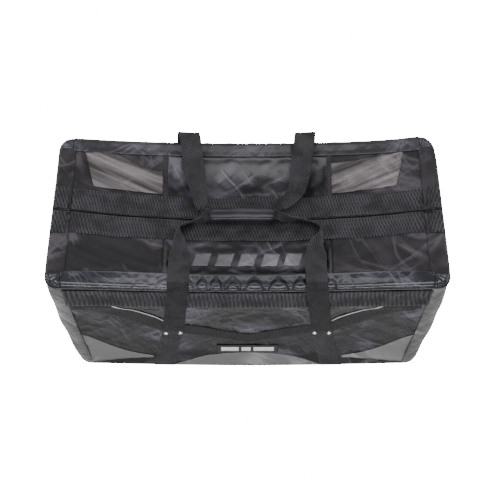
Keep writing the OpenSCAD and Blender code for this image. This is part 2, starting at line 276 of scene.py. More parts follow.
def settle(name, a_range, b_range, cells, sewn, slack, push, fall, cap):
    """Lets slack cloth settle between its sewn lines and keeps its depth as a field."""
    n, m = cells
    ga, gb = grid(np.linspace(*a_range, n), np.linspace(*b_range, m))
    rng = np.random.default_rng(len(name) * 7 + n)
    free = 1.0 - np.clip(sewn(ga, gb), 0, 1)
    start = free * 0.0012 * rng.standard_normal(ga.shape)
    verts = np.stack([ga, gb, start], -1).reshape(-1, 3)
    index = np.arange(n * m).reshape(n, m)
    faces = np.stack([index[:-1, :-1], index[1:, :-1], index[1:, 1:], index[:-1, 1:]], -1).reshape(-1, 4)
    mesh = bpy.data.meshes.new("settling_" + name)
    mesh.from_pydata(verts.tolist(), [], faces.tolist())
    piece = bpy.data.objects.new("settling_" + name, mesh)
    bpy.context.scene.collection.objects.link(piece)
    group = piece.vertex_groups.new(name="sewn")
    weights = 1 - free.reshape(-1)
    for i in np.nonzero(weights > 0.02)[0]:
        group.add([int(i)], float(weights[i]), "REPLACE")
    cloth = piece.modifiers.new("cloth", "CLOTH")
    s = cloth.settings
    s.quality = 6
    s.mass = 0.25
    s.air_damping = 3.0
    s.tension_stiffness = s.compression_stiffness = 20
    s.shear_stiffness = 10
    s.bending_stiffness = 0.35
    s.shrink_min = -slack
    s.vertex_group_mass = "sewn"
    s.use_pressure = push != 0
    s.uniform_pressure_force = push
    s.effector_weights.gravity = fall
    cloth.collision_settings.use_collision = False
    scene = bpy.context.scene
    cloth.point_cache.frame_start, cloth.point_cache.frame_end = 1, 60
    for f in range(1, 25):
        scene.frame_set(f)
    got = piece.evaluated_get(bpy.context.evaluated_depsgraph_get()).to_mesh()
    co = np.empty(len(got.vertices) * 3)
    got.vertices.foreach_get("co", co)
    scene.frame_set(1)
    depth = co.reshape(n, m, 3)[..., 2] * free
    bpy.data.objects.remove(piece)
    pad = np.pad(depth, 1, mode="edge")
    depth = 0.5 * depth + 0.125 * (pad[2:, 1:-1] + pad[:-2, 1:-1] + pad[1:-1, 2:] + pad[1:-1, :-2])
    FIELDS[name] = (cap * np.tanh(depth * free ** 0.2 / cap), a_range, b_range)


def lines(*distances, width=0.010):
    """One where any distance is nought, falling to nought a width away."""
    near = np.min(np.abs(np.stack(distances)), axis=0)
    return np.clip(1.6 - near / width, 0, 1)


def strap_x(z, rim):
    """Middle of a sewn strap at height z."""
    s = bpy.context.scene.bag_sizes
    return np.where(z > s.rivet_height,
                    s.strap_rivet + (rim - s.strap_rivet) * (z - s.rivet_height) / (TOP - s.rivet_height),
                    s.strap_base + (s.strap_rivet - s.strap_base) * z / s.rivet_height)


# ---------------------------------------------------------------- making meshes

def build(name, verts, faces, uvs, material, body, cad=None):
    """A smooth mesh piece with its material, kept off the floor. It may ride a body and stand for a CAD piece, which
    it hides.
    """
    mesh = bpy.data.meshes.new(name)
    verts = np.array(verts, float)
    verts[:, 2] = np.maximum(verts[:, 2], 0.0002)
    mesh.from_pydata(verts.tolist(), [], faces)
    mesh.validate()
    mesh.polygons.foreach_set("use_smooth", [True] * len(mesh.polygons))
    if uvs is not None:
        layer = mesh.uv_layers.new(name="cloth")
        loops = np.empty(len(mesh.loops), int)
        mesh.loops.foreach_get("vertex_index", loops)
        layer.data.foreach_set("uv", np.asarray(uvs)[loops].reshape(-1))
    piece = bpy.data.objects.new(name, mesh)
    bpy.context.scene.collection.objects.link(piece)
    mesh.materials.append(material)
    if body:
        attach(piece, body)
    if cad:
        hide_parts(cad)
    return piece


def slab(name, p, n, thick, uv, material, body, cad=None):
    """A cloth-thick closed piece: outer grid p, inner grid a thickness below it, rounded rim."""
    k, m = p.shape[:2]
    edge = np.zeros((k, m))
    edge[0], edge[-1], edge[:, 0], edge[:, -1] = 1, 1, 1, 1
    outer = p - n * (edge * thick * 0.35)[..., None]
    inner = p - n * (thick - edge * thick * 0.35)[..., None]
    verts = np.concatenate([outer.reshape(-1, 3), inner.reshape(-1, 3)])
    uvs = np.concatenate([uv.reshape(-1, 2)] * 2)
    off = k * m
    i = np.arange(k * m).reshape(k, m)
    a, b, c, d = i[:-1, :-1].ravel(), i[1:, :-1].ravel(), i[1:, 1:].ravel(), i[:-1, 1:].ravel()
    faces = np.concatenate([np.stack([a, b, c, d], -1), np.stack([a, d, c, b], -1) + off])
    loop = np.concatenate([i[:-1, 0], i[-1, :-1], i[:0:-1, -1], i[0, :0:-1]])
    nxt = np.roll(loop, -1)
    sides = np.stack([nxt, loop, loop + off, nxt + off], -1)
    e1 = np.cross(p[1, 0] - p[0, 0], p[0, 1] - p[0, 0])
    if np.dot(e1, n[0, 0]) < 0:
        faces, sides = faces[:, ::-1], sides[:, ::-1]
    return build(name, verts, np.concatenate([faces, sides]).tolist(), uvs, material, body, cad)


def spread(lo, hi, rows):
    """Grid between a lower and an upper line, each given as points of equal count."""
    t = np.linspace(0, 1, rows)[None, :, None]
    return lo[:, None, :] * (1 - t) + hi[:, None, :] * t


def smooth_path(points, count):
    """Even points on a smooth line through the given ones."""
    pts = np.asarray(points, float)
    ext = np.vstack([2 * pts[0] - pts[1], pts, 2 * pts[-1] - pts[-2]])
    out = []
    for i in range(1, len(ext) - 2):
        p0, p1, p2, p3 = ext[i - 1:i + 3]
        t = np.linspace(0, 1, 24, endpoint=False)[:, None]
        out.append(0.5 * (2 * p1 + (p2 - p0) * t + (2 * p0 - 5 * p1 + 4 * p2 - p3) * t ** 2
                          + (3 * p1 - p0 - 3 * p2 + p3) * t ** 3))
    dense = np.vstack(out + [pts[-1:]])
    gap = np.linalg.norm(np.diff(dense[:, :3], axis=0), axis=1)
    s = np.concatenate([[0], np.cumsum(gap)])
    even = np.linspace(0, s[-1], count)
    return np.stack([np.interp(even, s, dense[:, i]) for i in range(dense.shape[1])], -1), s[-1]


def ribbon(name, points, material, body, cad, count=90, rows=13):
    """Webbing along points of [x, y, z, across x, y, z, width, cup]."""
    path, length = smooth_path(points, count)
    c, w = path[:, :3], path[:, 3:6]
    t = np.gradient(c, axis=0)
    t /= np.linalg.norm(t, axis=1, keepdims=True)
    w = w - t * np.sum(w * t, 1, keepdims=True)
    w /= np.linalg.norm(w, axis=1, keepdims=True)
    n = np.cross(w, t)
    v = np.linspace(-0.5, 0.5, rows)
    bend = path[:, 7][:, None] * (v[None, :] * 2)
    width = path[:, 6][:, None]
    level = np.abs(bend) < 1e-3
    flat = np.where(level, v[None, :], np.sin(bend) / np.where(level, 1, bend) * v[None, :])
    drop = np.where(level, 0, (1 - np.cos(bend)) / np.where(level, 1, path[:, 7][:, None] * 2))
    p = c[:, None] + w[:, None] * (flat * width)[..., None] - n[:, None] * (drop * width)[..., None]
    du, dv = np.gradient(p, axis=0), np.gradient(p, axis=1)
    nn = np.cross(dv, du)
    nn /= np.linalg.norm(nn, axis=-1, keepdims=True)
    uv = np.stack(np.broadcast_arrays(v[None, :] * STRAP_WIDTH, np.linspace(0, length, count)[:, None]), -1)
    return slab(name, p + nn * STRAP_THICK / 2, nn, STRAP_THICK, uv, material, body, cad)


def tube(name, centre, radius, material, body, sides):
    """A round cord of piping along a line, closed at both ends."""
    c = np.asarray(centre, float)
    k = len(c)
    t = np.gradient(c, axis=0)
    t /= np.linalg.norm(t, axis=1, keepdims=True)
    ref = np.where(np.abs(t[:, 2:3]) > 0.9, np.array([[1.0, 0, 0]]), np.array([[0, 0, 1.0]]))
    a = np.cross(t, ref)
    a /= np.linalg.norm(a, axis=1, keepdims=True)
    b = np.cross(a, t)
    ang = np.linspace(0, 2 * math.pi, sides, endpoint=False)
    p = c[:, None] + radius * (a[:, None] * np.cos(ang)[None, :, None] + b[:, None] * np.sin(ang)[None, :, None])
    verts = np.vstack([p.reshape(-1, 3), c[:1], c[-1:]])
    faces = []
    for i in range(k - 1):
        for j in range(sides):
            q = (j + 1) % sides
            faces.append([i * sides + j, (i + 1) * sides + j, (i + 1) * sides + q, i * sides + q])
    for j in range(sides):
        q = (j + 1) % sides
        faces.append([k * sides, j, q])
        faces.append([k * sides + 1, (k - 1) * sides + q, (k - 1) * sides + j])
    return build(name, verts, faces, None, material, body)


def joined(name, pieces, body, cad=None):
    """Joins like pieces into one object."""
    verts, faces, uvs, base = [], [], [], 0
    has_uv = all(p.data.uv_layers for p in pieces)
    for p in pieces:
        v = np.empty(len(p.data.vertices) * 3)
        p.data.vertices.foreach_get("co", v)
        verts.append(v.reshape(-1, 3))
        faces += [[base + i for i in f.vertices] for f in p.data.polygons]
        if has_uv:
            uv = np.zeros((len(p.data.vertices), 2))
            for loop, data in zip(p.data.loops, p.data.uv_layers[0].data):
                uv[loop.vertex_index] = data.uv
            uvs.append(uv)
        base += len(p.data.vertices)
    material = pieces[0].data.materials[0]
    for p in pieces:
        bpy.data.objects.remove(p)
    return build(name, np.vstack(verts), faces, np.vstack(uvs) if has_uv else None, material, body, cad)


# ---------------------------------------------------------------- finishes

def fill(tree, n, values):
    """Links or sets each given socket of a node."""
    for key, value in values.items():
        if isinstance(value, bpy.types.NodeSocket):
            tree.links.new(value, n.inputs[key])
        else:
            n.inputs[key].default_value = value
    return n.outputs


def node(tree, kind, values, **settings):
    """The outputs of a new node."""
    n = tree.nodes.new("ShaderNode" + kind)
    for key, value in settings.items():
        setattr(n, key, value)
    return fill(tree, n, values)


def maths(tree, operation, *values):
    """One sum on numbers and sockets."""
    return node(tree, "Math", dict(enumerate(values)), operation=operation)[0]


def noise(tree, place, scale, detail=2.0, rough=0.5):
    """Soft noise about a half."""
    return node(tree, "TexNoise", {"Vector": place, "Scale": scale, "Detail": detail, "Roughness": rough})[0]


def ramped(tree, value, low, high, out_low=0.0, out_high=1.0):
    """A value stretched from one range to another."""
    return node(tree, "MapRange", {"Value": value, "From Min": low, "From Max": high, "To Min": out_low,
                                   "To Max": out_high})["Result"]


def two_tone(tree, factor, dark, light):
    """A colour between two, by a factor."""
    mix = tree.nodes.new("ShaderNodeMix")
    mix.data_type = "RGBA"
    tree.links.new(factor, mix.inputs["Factor"])
    mix.inputs["A"].default_value = (*dark, 1)
    mix.inputs["B"].default_value = (*light, 1)
    return mix.outputs["Result"]


def new_group(name, inputs, outputs):
    """A node group. Each input has a label and a number, or None where it takes a place."""
    tree = bpy.data.node_groups.new(name, "ShaderNodeTree")
    for label, value in inputs.items():
        kind = "NodeSocketVector" if value is None else "NodeSocketFloat"
        socket = tree.interface.new_socket(label, in_out="INPUT", socket_type=kind)
        if value is not None:
            socket.default_value = value
    for label in outputs:
        tree.interface.new_socket(label, in_out="OUTPUT", socket_type="NodeSocketFloat")
    return tree, tree.nodes.new("NodeGroupInput").outputs, tree.nodes.new("NodeGroupOutput")


def weave_group(name):
    """Slanted warp over a plain weft, in cloth metres."""
    tree, given, out = new_group(name, {"Cloth": None, "Ribs": 260.0, "Slant": 1.0, "Wander": 0.0},
                                 ("Height", "Shade"))
    spot = node(tree, "SeparateXYZ", {0: given["Cloth"]})
    turns = maths(tree, "MULTIPLY", given["Ribs"], 2 * math.pi)
    stray = maths(tree, "MULTIPLY", noise(tree, given["Cloth"], 22.0), given["Wander"])
    along = maths(tree, "ADD", maths(tree, "MULTIPLY", spot[0], turns), stray)
    slant = maths(tree, "MULTIPLY", maths(tree, "MULTIPLY", spot[1], turns), given["Slant"])
    warp = maths(tree, "SINE", maths(tree, "ADD", along, slant))
    weft = maths(tree, "SINE", maths(tree, "SUBTRACT", along, slant))
    high = maths(tree, "MULTIPLY_ADD", weft, 0.16, maths(tree, "MULTIPLY_ADD", warp, 0.34, 0.5))
    wander = maths(tree, "MULTIPLY_ADD", noise(tree, given["Cloth"], 38.0, 3.0), 0.7, 0.65)
    fill(tree, out, {"Height": high, "Shade": maths(tree, "MULTIPLY", high, wander)})
    return tree


def crease_group(name):
    """Straight handling creases that run across coated cloth in three directions, plus a soft cloudy mask and a mask
    of painted highlight along the creases and in broad sheens.
    """
    tree, given, out = new_group(name, {"Place": None, "Cloth": None, "Size": 9.0}, ("Height", "Cloud", "Painted_sheen"))
    cloud = noise(tree, given["Place"], 5.0, 4.0)
    height = maths(tree, "MULTIPLY", noise(tree, given["Place"], 40.0), 0.10)
    warp = node(tree, "TexNoise", {"Vector": given["Cloth"], "Scale": 11.0, "Detail": 2.0})["Color"]
    bent = node(tree, "VectorMath", {0: warp, 1: (0.020, 0.020, 0), 2: given["Cloth"]}, operation="MULTIPLY_ADD")[0]
    sheen_streak = 0.0
    for turn, stretch, fineness, low in ((-0.50, 0.16, 1.0, 0.46), (0.62, 0.14, 1.4, 0.50), (-1.05, 0.18, 1.9, 0.50)):
        c, d = math.cos(turn), math.sin(turn)
        along = node(tree, "VectorMath", {0: bent, 1: (c * stretch, d * stretch, 0)}, operation="DOT_PRODUCT")["Value"]
        aside = node(tree, "VectorMath", {0: bent, 1: (-d, c, 0)}, operation="DOT_PRODUCT")["Value"]
        spot = node(tree, "CombineXYZ", {0: along, 1: aside, 2: fineness})[0]
        pull = noise(tree, spot, maths(tree, "MULTIPLY", given["Size"], 1.7 * fineness))
        line = maths(tree, "ABSOLUTE", maths(tree, "SUBTRACT", pull, 0.5))
        line = maths(tree, "SUBTRACT", 1.0, maths(tree, "MINIMUM", maths(tree, "MULTIPLY", line, 21.0), 1.0))
        held = ramped(tree, noise(tree, given["Place"], 8.0 + fineness), low, low + 0.14)
        broad_sheen = ramped(tree, pull, 0.50, 0.72, 0.0, 0.30)
        # Thin lines on the creases and broad patches of pull are lighter in colour: painted highlight and painted
        # sheen.
        shown = maths(tree, "MAXIMUM", maths(tree, "MULTIPLY", line, 0.58), broad_sheen)
        sheen_streak = maths(tree, "MULTIPLY_ADD", shown, held, sheen_streak)
        height = maths(tree, "MULTIPLY_ADD", pull, 1.1 / fineness, height)
        height = maths(tree, "MULTIPLY_ADD", maths(tree, "MULTIPLY", line, held), 0.14, height)
    fill(tree, out, {"Height": height, "Cloud": cloud, "Painted_sheen": maths(tree, "MINIMUM", sheen_streak, 1.0)})
    return tree


def net_group(name):
    """Open net: thin threads round small dark holes."""
    tree, given, out = new_group(name, {"Cloth": None, "Holes": 420.0}, ("Thread",))
    spot = node(tree, "SeparateXYZ", {0: given["Cloth"]})
    turns = maths(tree, "MULTIPLY", given["Holes"], math.pi)
    across_x, across_y = (maths(tree, "ABSOLUTE", maths(tree, "SINE", maths(tree, "MULTIPLY", spot[i], turns)))
                          for i in (0, 1))
    hole = maths(tree, "SUBTRACT", maths(tree, "MULTIPLY", across_x, across_y), 0.25)
    fill(tree, out, {"Thread": maths(tree, "SUBTRACT", 1.0, maths(tree, "SMOOTH_MAX", hole, 0.0, 0.1))})
    return tree


GROUPS = {"Webbing weave": weave_group, "Coated cloth creases": crease_group, "Net cloth": net_group}


def grouped(tree, name, values):
    """The outputs of a shared node group, which is made when first used."""
    n = tree.nodes.new("ShaderNodeGroup")
    n.node_tree = bpy.data.node_groups.get(name) or GROUPS[name](name)
    return fill(tree, n, values)


def blank(name, **settings):
    """A material with its shader's uniform values set on its own sockets."""
    m = bpy.data.materials.new(name)
    m.use_nodes = True
    tree = m.node_tree
    shader = tree.nodes["Principled BSDF"]
    fill(tree, shader, {key.replace("_", " "): value for key, value in settings.items()})
    return m, tree, shader


def dressed(tree, shader, colour, rough, height, strength, distance):
    """Gives a shader its colour, roughness and relief."""
    bump = node(tree, "Bump", {"Height": height, "Strength": strength, "Distance": distance})[0]
    fill(tree, shader, {"Base Color": colour, "Roughness": rough, "Normal": bump})


def coated(name, colour, light, rough, crease, size, coat=0.0, shine=0.4):
    """Coated cloth: cloudy patches of painted highlight along its creases and in broad sheens, uneven gloss and
    handling creases.
    """
    m, tree, shader = blank(name, Specular_IOR_Level=shine, Coat_Weight=coat, Coat_Roughness=0.12)
    spot = node(tree, "TexCoord", {})
    c = grouped(tree, "Coated cloth creases", {"Place": spot["Object"], "Cloth": spot["UV"], "Size": size})
    # The colour goes from the cloth's own colour to the light colour along the creases and sheens: painted highlight.
    dressed(tree, shader, two_tone(tree, c["Painted_sheen"], colour, light),
            ramped(tree, c["Cloud"], 0.3, 0.7, rough - 0.08, rough + 0.1), c["Height"], crease, 0.018)
    return m


def woven(name, dark, light, ribs, slant, depth, rough=0.72, sheen=0.12, wander=0.0):
    """Woven webbing, worn in patches."""
    m, tree, shader = blank(name, Specular_IOR_Level=0.35, Sheen_Weight=sheen, Sheen_Roughness=0.4)
    spot = node(tree, "TexCoord", {})
    w = grouped(tree, "Webbing weave", {"Cloth": spot["UV"], "Ribs": ribs, "Slant": slant, "Wander": wander})
    wear_and_sheen = ramped(tree, noise(tree, spot["Object"], 24.0, 4.0, 0.6), 0.36, 0.64, 0.35, 1.6)
    dressed(tree, shader, two_tone(tree, maths(tree, "MULTIPLY", w["Shade"], wear_and_sheen), dark, light),
            ramped(tree, w["Height"], 0, 1, rough + 0.1, rough - 0.08), w["Height"], depth, 0.0012)
    return m


def netted(name, hole, thread, holes, rough, sheen_streak, ground, fold_shade_and_relief):
    """Open net cloth with a lazy drape painted into its colour as fold shade, and painted highlight along its creases.
    """
    m, tree, shader = blank(name, Specular_IOR_Level=0.25, Sheen_Weight=0.05)
    spot = node(tree, "TexCoord", {})
    threads = grouped(tree, "Net cloth", {"Cloth": spot["UV"], "Holes": holes})["Thread"]
    c = grouped(tree, "Coated cloth creases", {"Place": spot["Object"], "Cloth": spot["UV"], "Size": 6.0})
    sep = node(tree, "SeparateXYZ", {0: spot["UV"]})
    out = maths(tree, "ABSOLUTE", sep[0])
    down = node(tree, "CombineXYZ", {0: maths(tree, "MULTIPLY", out, 0.07), 2: maths(tree, "SIGN", sep[0]),
                                     1: maths(tree, "MULTIPLY_ADD", out, -0.40, sep[1])})[0]
    drape = noise(tree, down, 42.0, 3.0, 0.6)
    # The drape darkens the valleys and lightens the crests of the folds in colour: painted fold shade and painted
    # highlight.
    fold = ramped(tree, drape, 0.36, 0.64, -0.5, 0.5)
    # Crease lines and broad patches lighten the threads: painted highlight.
    tone = maths(tree, "MULTIPLY_ADD", c["Painted_sheen"], sheen_streak, ground)
    tone = maths(tree, "MAXIMUM", maths(tree, "MULTIPLY_ADD", fold, fold_shade_and_relief, tone), 0.0)
    relief = maths(tree, "MULTIPLY_ADD", c["Height"], 5.0, maths(tree, "MULTIPLY", drape, 6.0 * fold_shade_and_relief))
    dressed(tree, shader, two_tone(tree, maths(tree, "MULTIPLY", threads, tone), hole, thread),
            ramped(tree, c["Cloud"], 0.3, 0.7, rough, rough + 0.2),
            maths(tree, "MULTIPLY_ADD", threads, 0.25, relief), 0.8, 0.0024)
    return m


def metal(name, colour, rough, metallic):
    """Lightly worn metal."""
    m, tree, shader = blank(name, Metallic=metallic)
    wear = noise(tree, node(tree, "TexCoord", {})["Object"], 260.0, 3.0)
    dressed(tree, shader, two_tone(tree, wear, colour, tuple(min(1, c * 1.25) for c in colour)),
            ramped(tree, wear, 0.3, 0.7, rough, rough + 0.12), wear, 0.1, 0.0004)
    return m


CLOTH = {}


def cloths():
    """Every finish, made once from the colours."""
    if CLOTH:
        return CLOTH
    c = bpy.context.scene.bag_colours
    # The crease colour gives the light end of the coated finishes, which is painted highlight along creases and in
    # broad sheens.
    tarp, wear_and_sheen, web, net, pale, grey = (
        tuple(v) for v in (c.tarpaulin, c.crease, c.webbing, c.net, c.window, c.grey))

    def tint(colour, k):
        """A colour made darker or lighter."""
        return tuple(min(1, v * k) for v in colour)

    # In each coated finish the second colour shows along the creases and in broad sheens: painted highlight. In each
    # net the thread colour shows in painted highlight and painted fold shade.
    CLOTH.update(
        tarpaulin=coated("Glossy black tarpaulin", tarp, tint(wear_and_sheen, 2.0), 0.30, 0.8, 7.0),
        top_tarpaulin=coated("Smooth top tarpaulin", tarp, tint(wear_and_sheen, 1.3), 0.30, 0.34, 4.5),
        rim_pvc=coated("Creased rim vinyl", (0.0115, 0.0125, 0.0185), tint(wear_and_sheen, 1.6), 0.17, 0.16, 13.0, 0.5, 0.3),
        rear_rim=coated("Rear rim vinyl", tint(wear_and_sheen, 0.25), tint(wear_and_sheen, 1.2), 0.42, 0.3, 11.0, 0.1, 0.35),
        grip_pvc=coated("Grip vinyl", tint(tarp, 1.6), tint(wear_and_sheen, 0.5), 0.30, 0.2, 20.0, 0.05, 0.3),
        corner_pvc=coated("Corner vinyl", tint(grey, 0.60), tint(grey, 3.2), 0.30, 0.9, 9.0, 0.15),
        grey_pvc=coated("Grey panel vinyl", tint(grey, 1.3), tint(grey, 3.0), 0.36, 0.45, 5.0, 0.1),
        webbing=woven("Handle webbing", tint(web, 0.2), tint(web, 2.9), 135.0, 1.0, 1.0, wander=5.0),
        zip_webbing=woven("Zip webbing", tint(web, 0.35), tint(web, 3.2), 140.0, 0.30, 1.0, wander=9.0),
        band=woven("Ribbed band", tint(web, 0.3), tint(web, 3.2), 100.0, 0.10, 0.9, wander=8.0),
        dark_mesh=netted("Black net", tint(net, 0.15), (0.078, 0.068, 0.082), 380.0, 0.45, 1.3, 0.18, 0.12),
        grey_mesh=netted("Pale net", tint(pale, 0.30), tint(pale, 2.4), 330.0, 0.55, 0.45, 0.34, 0.85),
        chevron=woven("Ballistic cloth", tint(web, 0.30), tint(web, 1.3), 240.0, 0.0, 0.5, 0.6, 0.05),
        strap_sewn=woven("Sewn strap webbing", tint(web, 0.35), tint(web, 3.0), 160.0, 1.0, 0.8, wander=4.0),
        strap_rim=woven("Rim strap webbing", tint(web, 0.2), tint(web, 1.7), 150.0, 1.0, 1.0, 0.78, 0.04, 4.0),
        reflective=coated("Reflective trim", (0.45, 0.45, 0.46), (0.62, 0.62, 0.63), 0.35, 0.2, 30.0),
        stripes=coated("Stripe print", (0.10, 0.095, 0.107), (0.22, 0.21, 0.24), 0.4, 0.5, 9.0),
        label=coated("Label rubber", (0.02, 0.02, 0.02), (0.035, 0.035, 0.035), 0.45, 0.2, 40.0),
        marks=coated("Label marks", (0.80, 0.80, 0.80), (0.9, 0.9, 0.9), 0.45, 0.1, 40.0),
        zip=coated("Zip teeth", (0.008, 0.008, 0.009), (0.02, 0.02, 0.02), 0.35, 0.2, 60.0),
        board=coated("Base board", (0.06, 0.06, 0.065), (0.10, 0.10, 0.105), 0.5, 0.3, 12.0),
        rivet=metal("Plated rivets", (0.78, 0.78, 0.80), 0.18, 1.0),
        slider_metal=metal("Black zip slider", (0.03, 0.03, 0.032), 0.3, 0.6))
    return CLOTH


# ---------------------------------------------------------------- sizes and colours

def length(name, description, default, low, high):
    """A length that can be set in the panel."""
    return FloatProperty(name=name, description=description, default=default, min=low, max=high, unit="LENGTH",
                         subtype="DISTANCE")


def colour(name, description, default):
    """A colour that can be set in the panel."""
    return FloatVectorProperty(name=name, description=description, subtype="COLOR", default=default, min=0, max=1)


class BagSizes(bpy.types.PropertyGroup):
    """Sizes of the sewn bag."""
    rim_half: length("Half length at the rim", "Middle to the end of the rim", RIM_HALF, 0.4, 0.5)
    base_half: length("Half length at the base", "Middle to the end of the base", 0.424, 0.36, 0.5)
    half_depth: length("Half depth", "Middle to the front wall", 0.210, 0.17, 0.24)
    zip_sag: length("Zip sag", "How far the zip hangs in the middle", 0.050, 0.0, 0.08)
    strap_width: length("Strap width", "Width of the sewn straps", STRAP_WIDTH, 0.03, 0.07)
    strap_rivet: length("Strap at the rivets", "Middle of the bag to the strap at its rivets", 0.181, 0.1, 0.25)
    strap_base: length("Strap at the base", "Middle of the bag to the strap at the base", 0.211, 0.1, 0.25)
    rivet_height: length("Rivet height", "Height of the strap rivets", 0.172, 0.1, 0.3)
    loop_height: length("Rear loop height", "Top of the standing rear straps", 0.421, 0.40, 0.45)
    grip_height: length("Grip height", "Middle of the wrapped grip", 0.366, 0.34, 0.42)


class BagColours(bpy.types.PropertyGroup):
    """Colours of the sewn bag."""
    tarpaulin: colour("Tarpaulin", "Glossy coated cloth", (0.0060, 0.0060, 0.0080))
    # Crease is the light colour laid along the creases and in broad sheens of the coated cloth: a painted highlight.
    crease: colour("Crease", "Worn creases in the coated cloth", (0.062, 0.058, 0.077))
    webbing: colour("Webbing", "Straps and bands", (0.0130, 0.0128, 0.0152))
    net: colour("Black net", "Dark net on the top", (0.0050, 0.0050, 0.0058))
    window: colour("Pale net", "Pale net windows", (0.114, 0.103, 0.106))
    grey: colour("Grey vinyl", "Corner and lower panels", (0.115, 0.112, 0.112))


# ---------------------------------------------------------------- the pieces

class BAG_OT_settle(bpy.types.Operator):
    """Settles the slack cloth between its sewn lines"""
    bl_idname = "bag.settle"
    bl_label = "Settle the cloth"

    def execute(self, context):
        def walled(edge, foot, band, width, rim=None):
            """Sewn lines of a wall: its sides, top, foot and band, and its straps where it has them."""
            def sewn(a, b):
                straps = [] if rim is None else [np.abs(a) - strap_x(b, rim)]
                return lines(np.abs(a) - edge, b - SEAM_TOP, b - foot, b - band, *straps, width=width)
            return sewn

        def leaved(side):
            """Sewn lines of a leaf: its ends, its rim band, the centre seams and all of the zip webbing."""
            return lambda a, b: lines(np.abs(a) - LEAF_X, b - side * LEAF_Y, np.abs(a) - CENTRE_X,
                                      side * np.maximum(side * b - 0.06, 0), width=0.008)

        up, half, leaf, end = (0, SEAM_TOP), (-0.42, 0.42), (-LEAF_X, LEAF_X), (-END_WIDTH / 2, END_WIDTH / 2)
        settle("front", half, up, (110, 52), walled(0.42, 0.005, 0.298, 0.012, FRONT_STRAP), 0.035, 0.9, 0.5, 0.009)
        settle("rear", half, up, (100, 48), walled(0.42, 0, 0.298, 0.012, 0.135), 0.03, 0.9, -0.4, 0.008)
        settle("end", end, up, (46, 50), walled(END_WIDTH / 2, 0, 0.266, 0.010), 0.03, -0.5, -0.6, 0.008)
        settle("top_front", leaf, (-LEAF_Y, 0), (110, 30), leaved(-1), 0.03, 0.15, 0.9, 0.008)
        settle("top_rear", leaf, (0, LEAF_Y), (110, 30), leaved(1), 0.03, 0.1, 1.0, 0.008)
        return {"FINISHED"}


def sheet_of(piece):
    """Hands the panel back unchanged."""
    return piece


def paint(cad, material):
    """Gives a CAD piece that shows as it is a finish."""
    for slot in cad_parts[cad].material_slots:
        slot.material = material


class BAG_OT_walls(bpy.types.Operator):
    """Sews the walls, corners and base"""
    bl_idname = "bag.walls"
    bl_label = "Walls and base"

    def execute(self, context):
        c = cloths()
        z = run(0, SEAM_TOP, 0.006)
        for name, face, cad in (("front_wall", front_face, "front_panel"), ("rear_wall", rear_face, "rear_panel")):
            gu, gz = grid(run(-1, 1, 0.013), z)
            gx = gu * across(gz)
            p, n = face(gx, gz, 0.0)
            piece = slab(name, p, n, SKIN, on_cloth(gx, gz), c["tarpaulin"], "bag", cad)
            sheet_of(piece)
        for side, tag in ((-1, "left"), (1, "right")):
            gu, gz = grid(side * run(2, 3, 0.022), z)
            p, n = side_wall(gu, gz, 0.0)
            piece = slab("end_wall_" + tag, p, n, SKIN, on_cloth(gu * END_WIDTH, gz), c["tarpaulin"], "bag",
                         "end_panel_" + tag)
            sheet_of(piece)
        for u0, tag, ends in ((1, "front", (0.990, 2.014)), (3, "rear", (2.986, 4.010))):
            pair = []
            for side in (-1, 1):
                gu, gz = grid(side * np.concatenate([[ends[0]], run(u0, u0 + 1, 0.06), [ends[1]]]), z)
                p, n = side_wall(gu, gz, 0.0016)
                wave = 0.0016 * np.sin(gz * 46 + side) * np.sin(np.clip(np.abs(gu) - u0, 0, 1) * math.pi)
                pair.append(slab("corner", p + n * wave[..., None], n, 0.0014, on_cloth(gu * 0.06, gz),
                                 c["corner_pvc"], None))
            joined("corner_strips_" + tag + "_cloth", pair, "bag", "corner_strips_" + tag)
        gk, gu = grid(run(0.02, 1, 0.06), all_round(0.06, 0.12, 0.1))
        foot = hull_at(gu, np.full(gu.shape, -SEAM_TOP))
        p = np.stack([foot[..., 0] * gk, foot[..., 1] * gk, np.full(gk.shape, 0.0004)], -1)
        n = np.broadcast_to([0.0, 0.0, -1.0], p.shape)
        piece = slab("base_cloth", p, n, 0.002, p[..., :2], c["dark_mesh"], "bag", "base_panel")
        sheet_of(piece)
        paint("base_board", c["board"])
        return {"FINISHED"}


def pucker(u, t, seed):
    """Gathers where the vinyl turns over the rim: plump between its pinches, with creases fanning up."""
    x = u * LEAF_END
    i = np.arange(-12, 13)
    pinch = np.sort(i * 0.043 + 0.014 * np.sin(i * 7.3 + seed))
    k = np.clip(np.searchsorted(pinch, x), 1, len(pinch) - 1)
    left, right = pinch[k - 1], pinch[k]
    part = (x - left) / (right - left)
    up = np.clip(t / RIM_RUN, 0, 1)
    crest = np.sin(np.clip(part, 0, 1) * math.pi)
    plump = crest ** 0.6 * np.clip(1 - up / (0.25 + 0.75 * crest), 0, 1) ** 0.8
    away = np.minimum(x - left, right - x)
    fan = np.sin(np.arctan2(away, t + 0.002) * 9 + k) * np.sin(up * math.pi)
    strength = (0.50 + 0.50 * np.cos(np.clip(x, -0.41, 0.41) * 7.5)) * (1.0 if seed < 0 else 0.4)
    return strength * (0.0072 * plump - 0.0022 + 0.0009 * fan) * np.clip(up * 12, 0, 1)


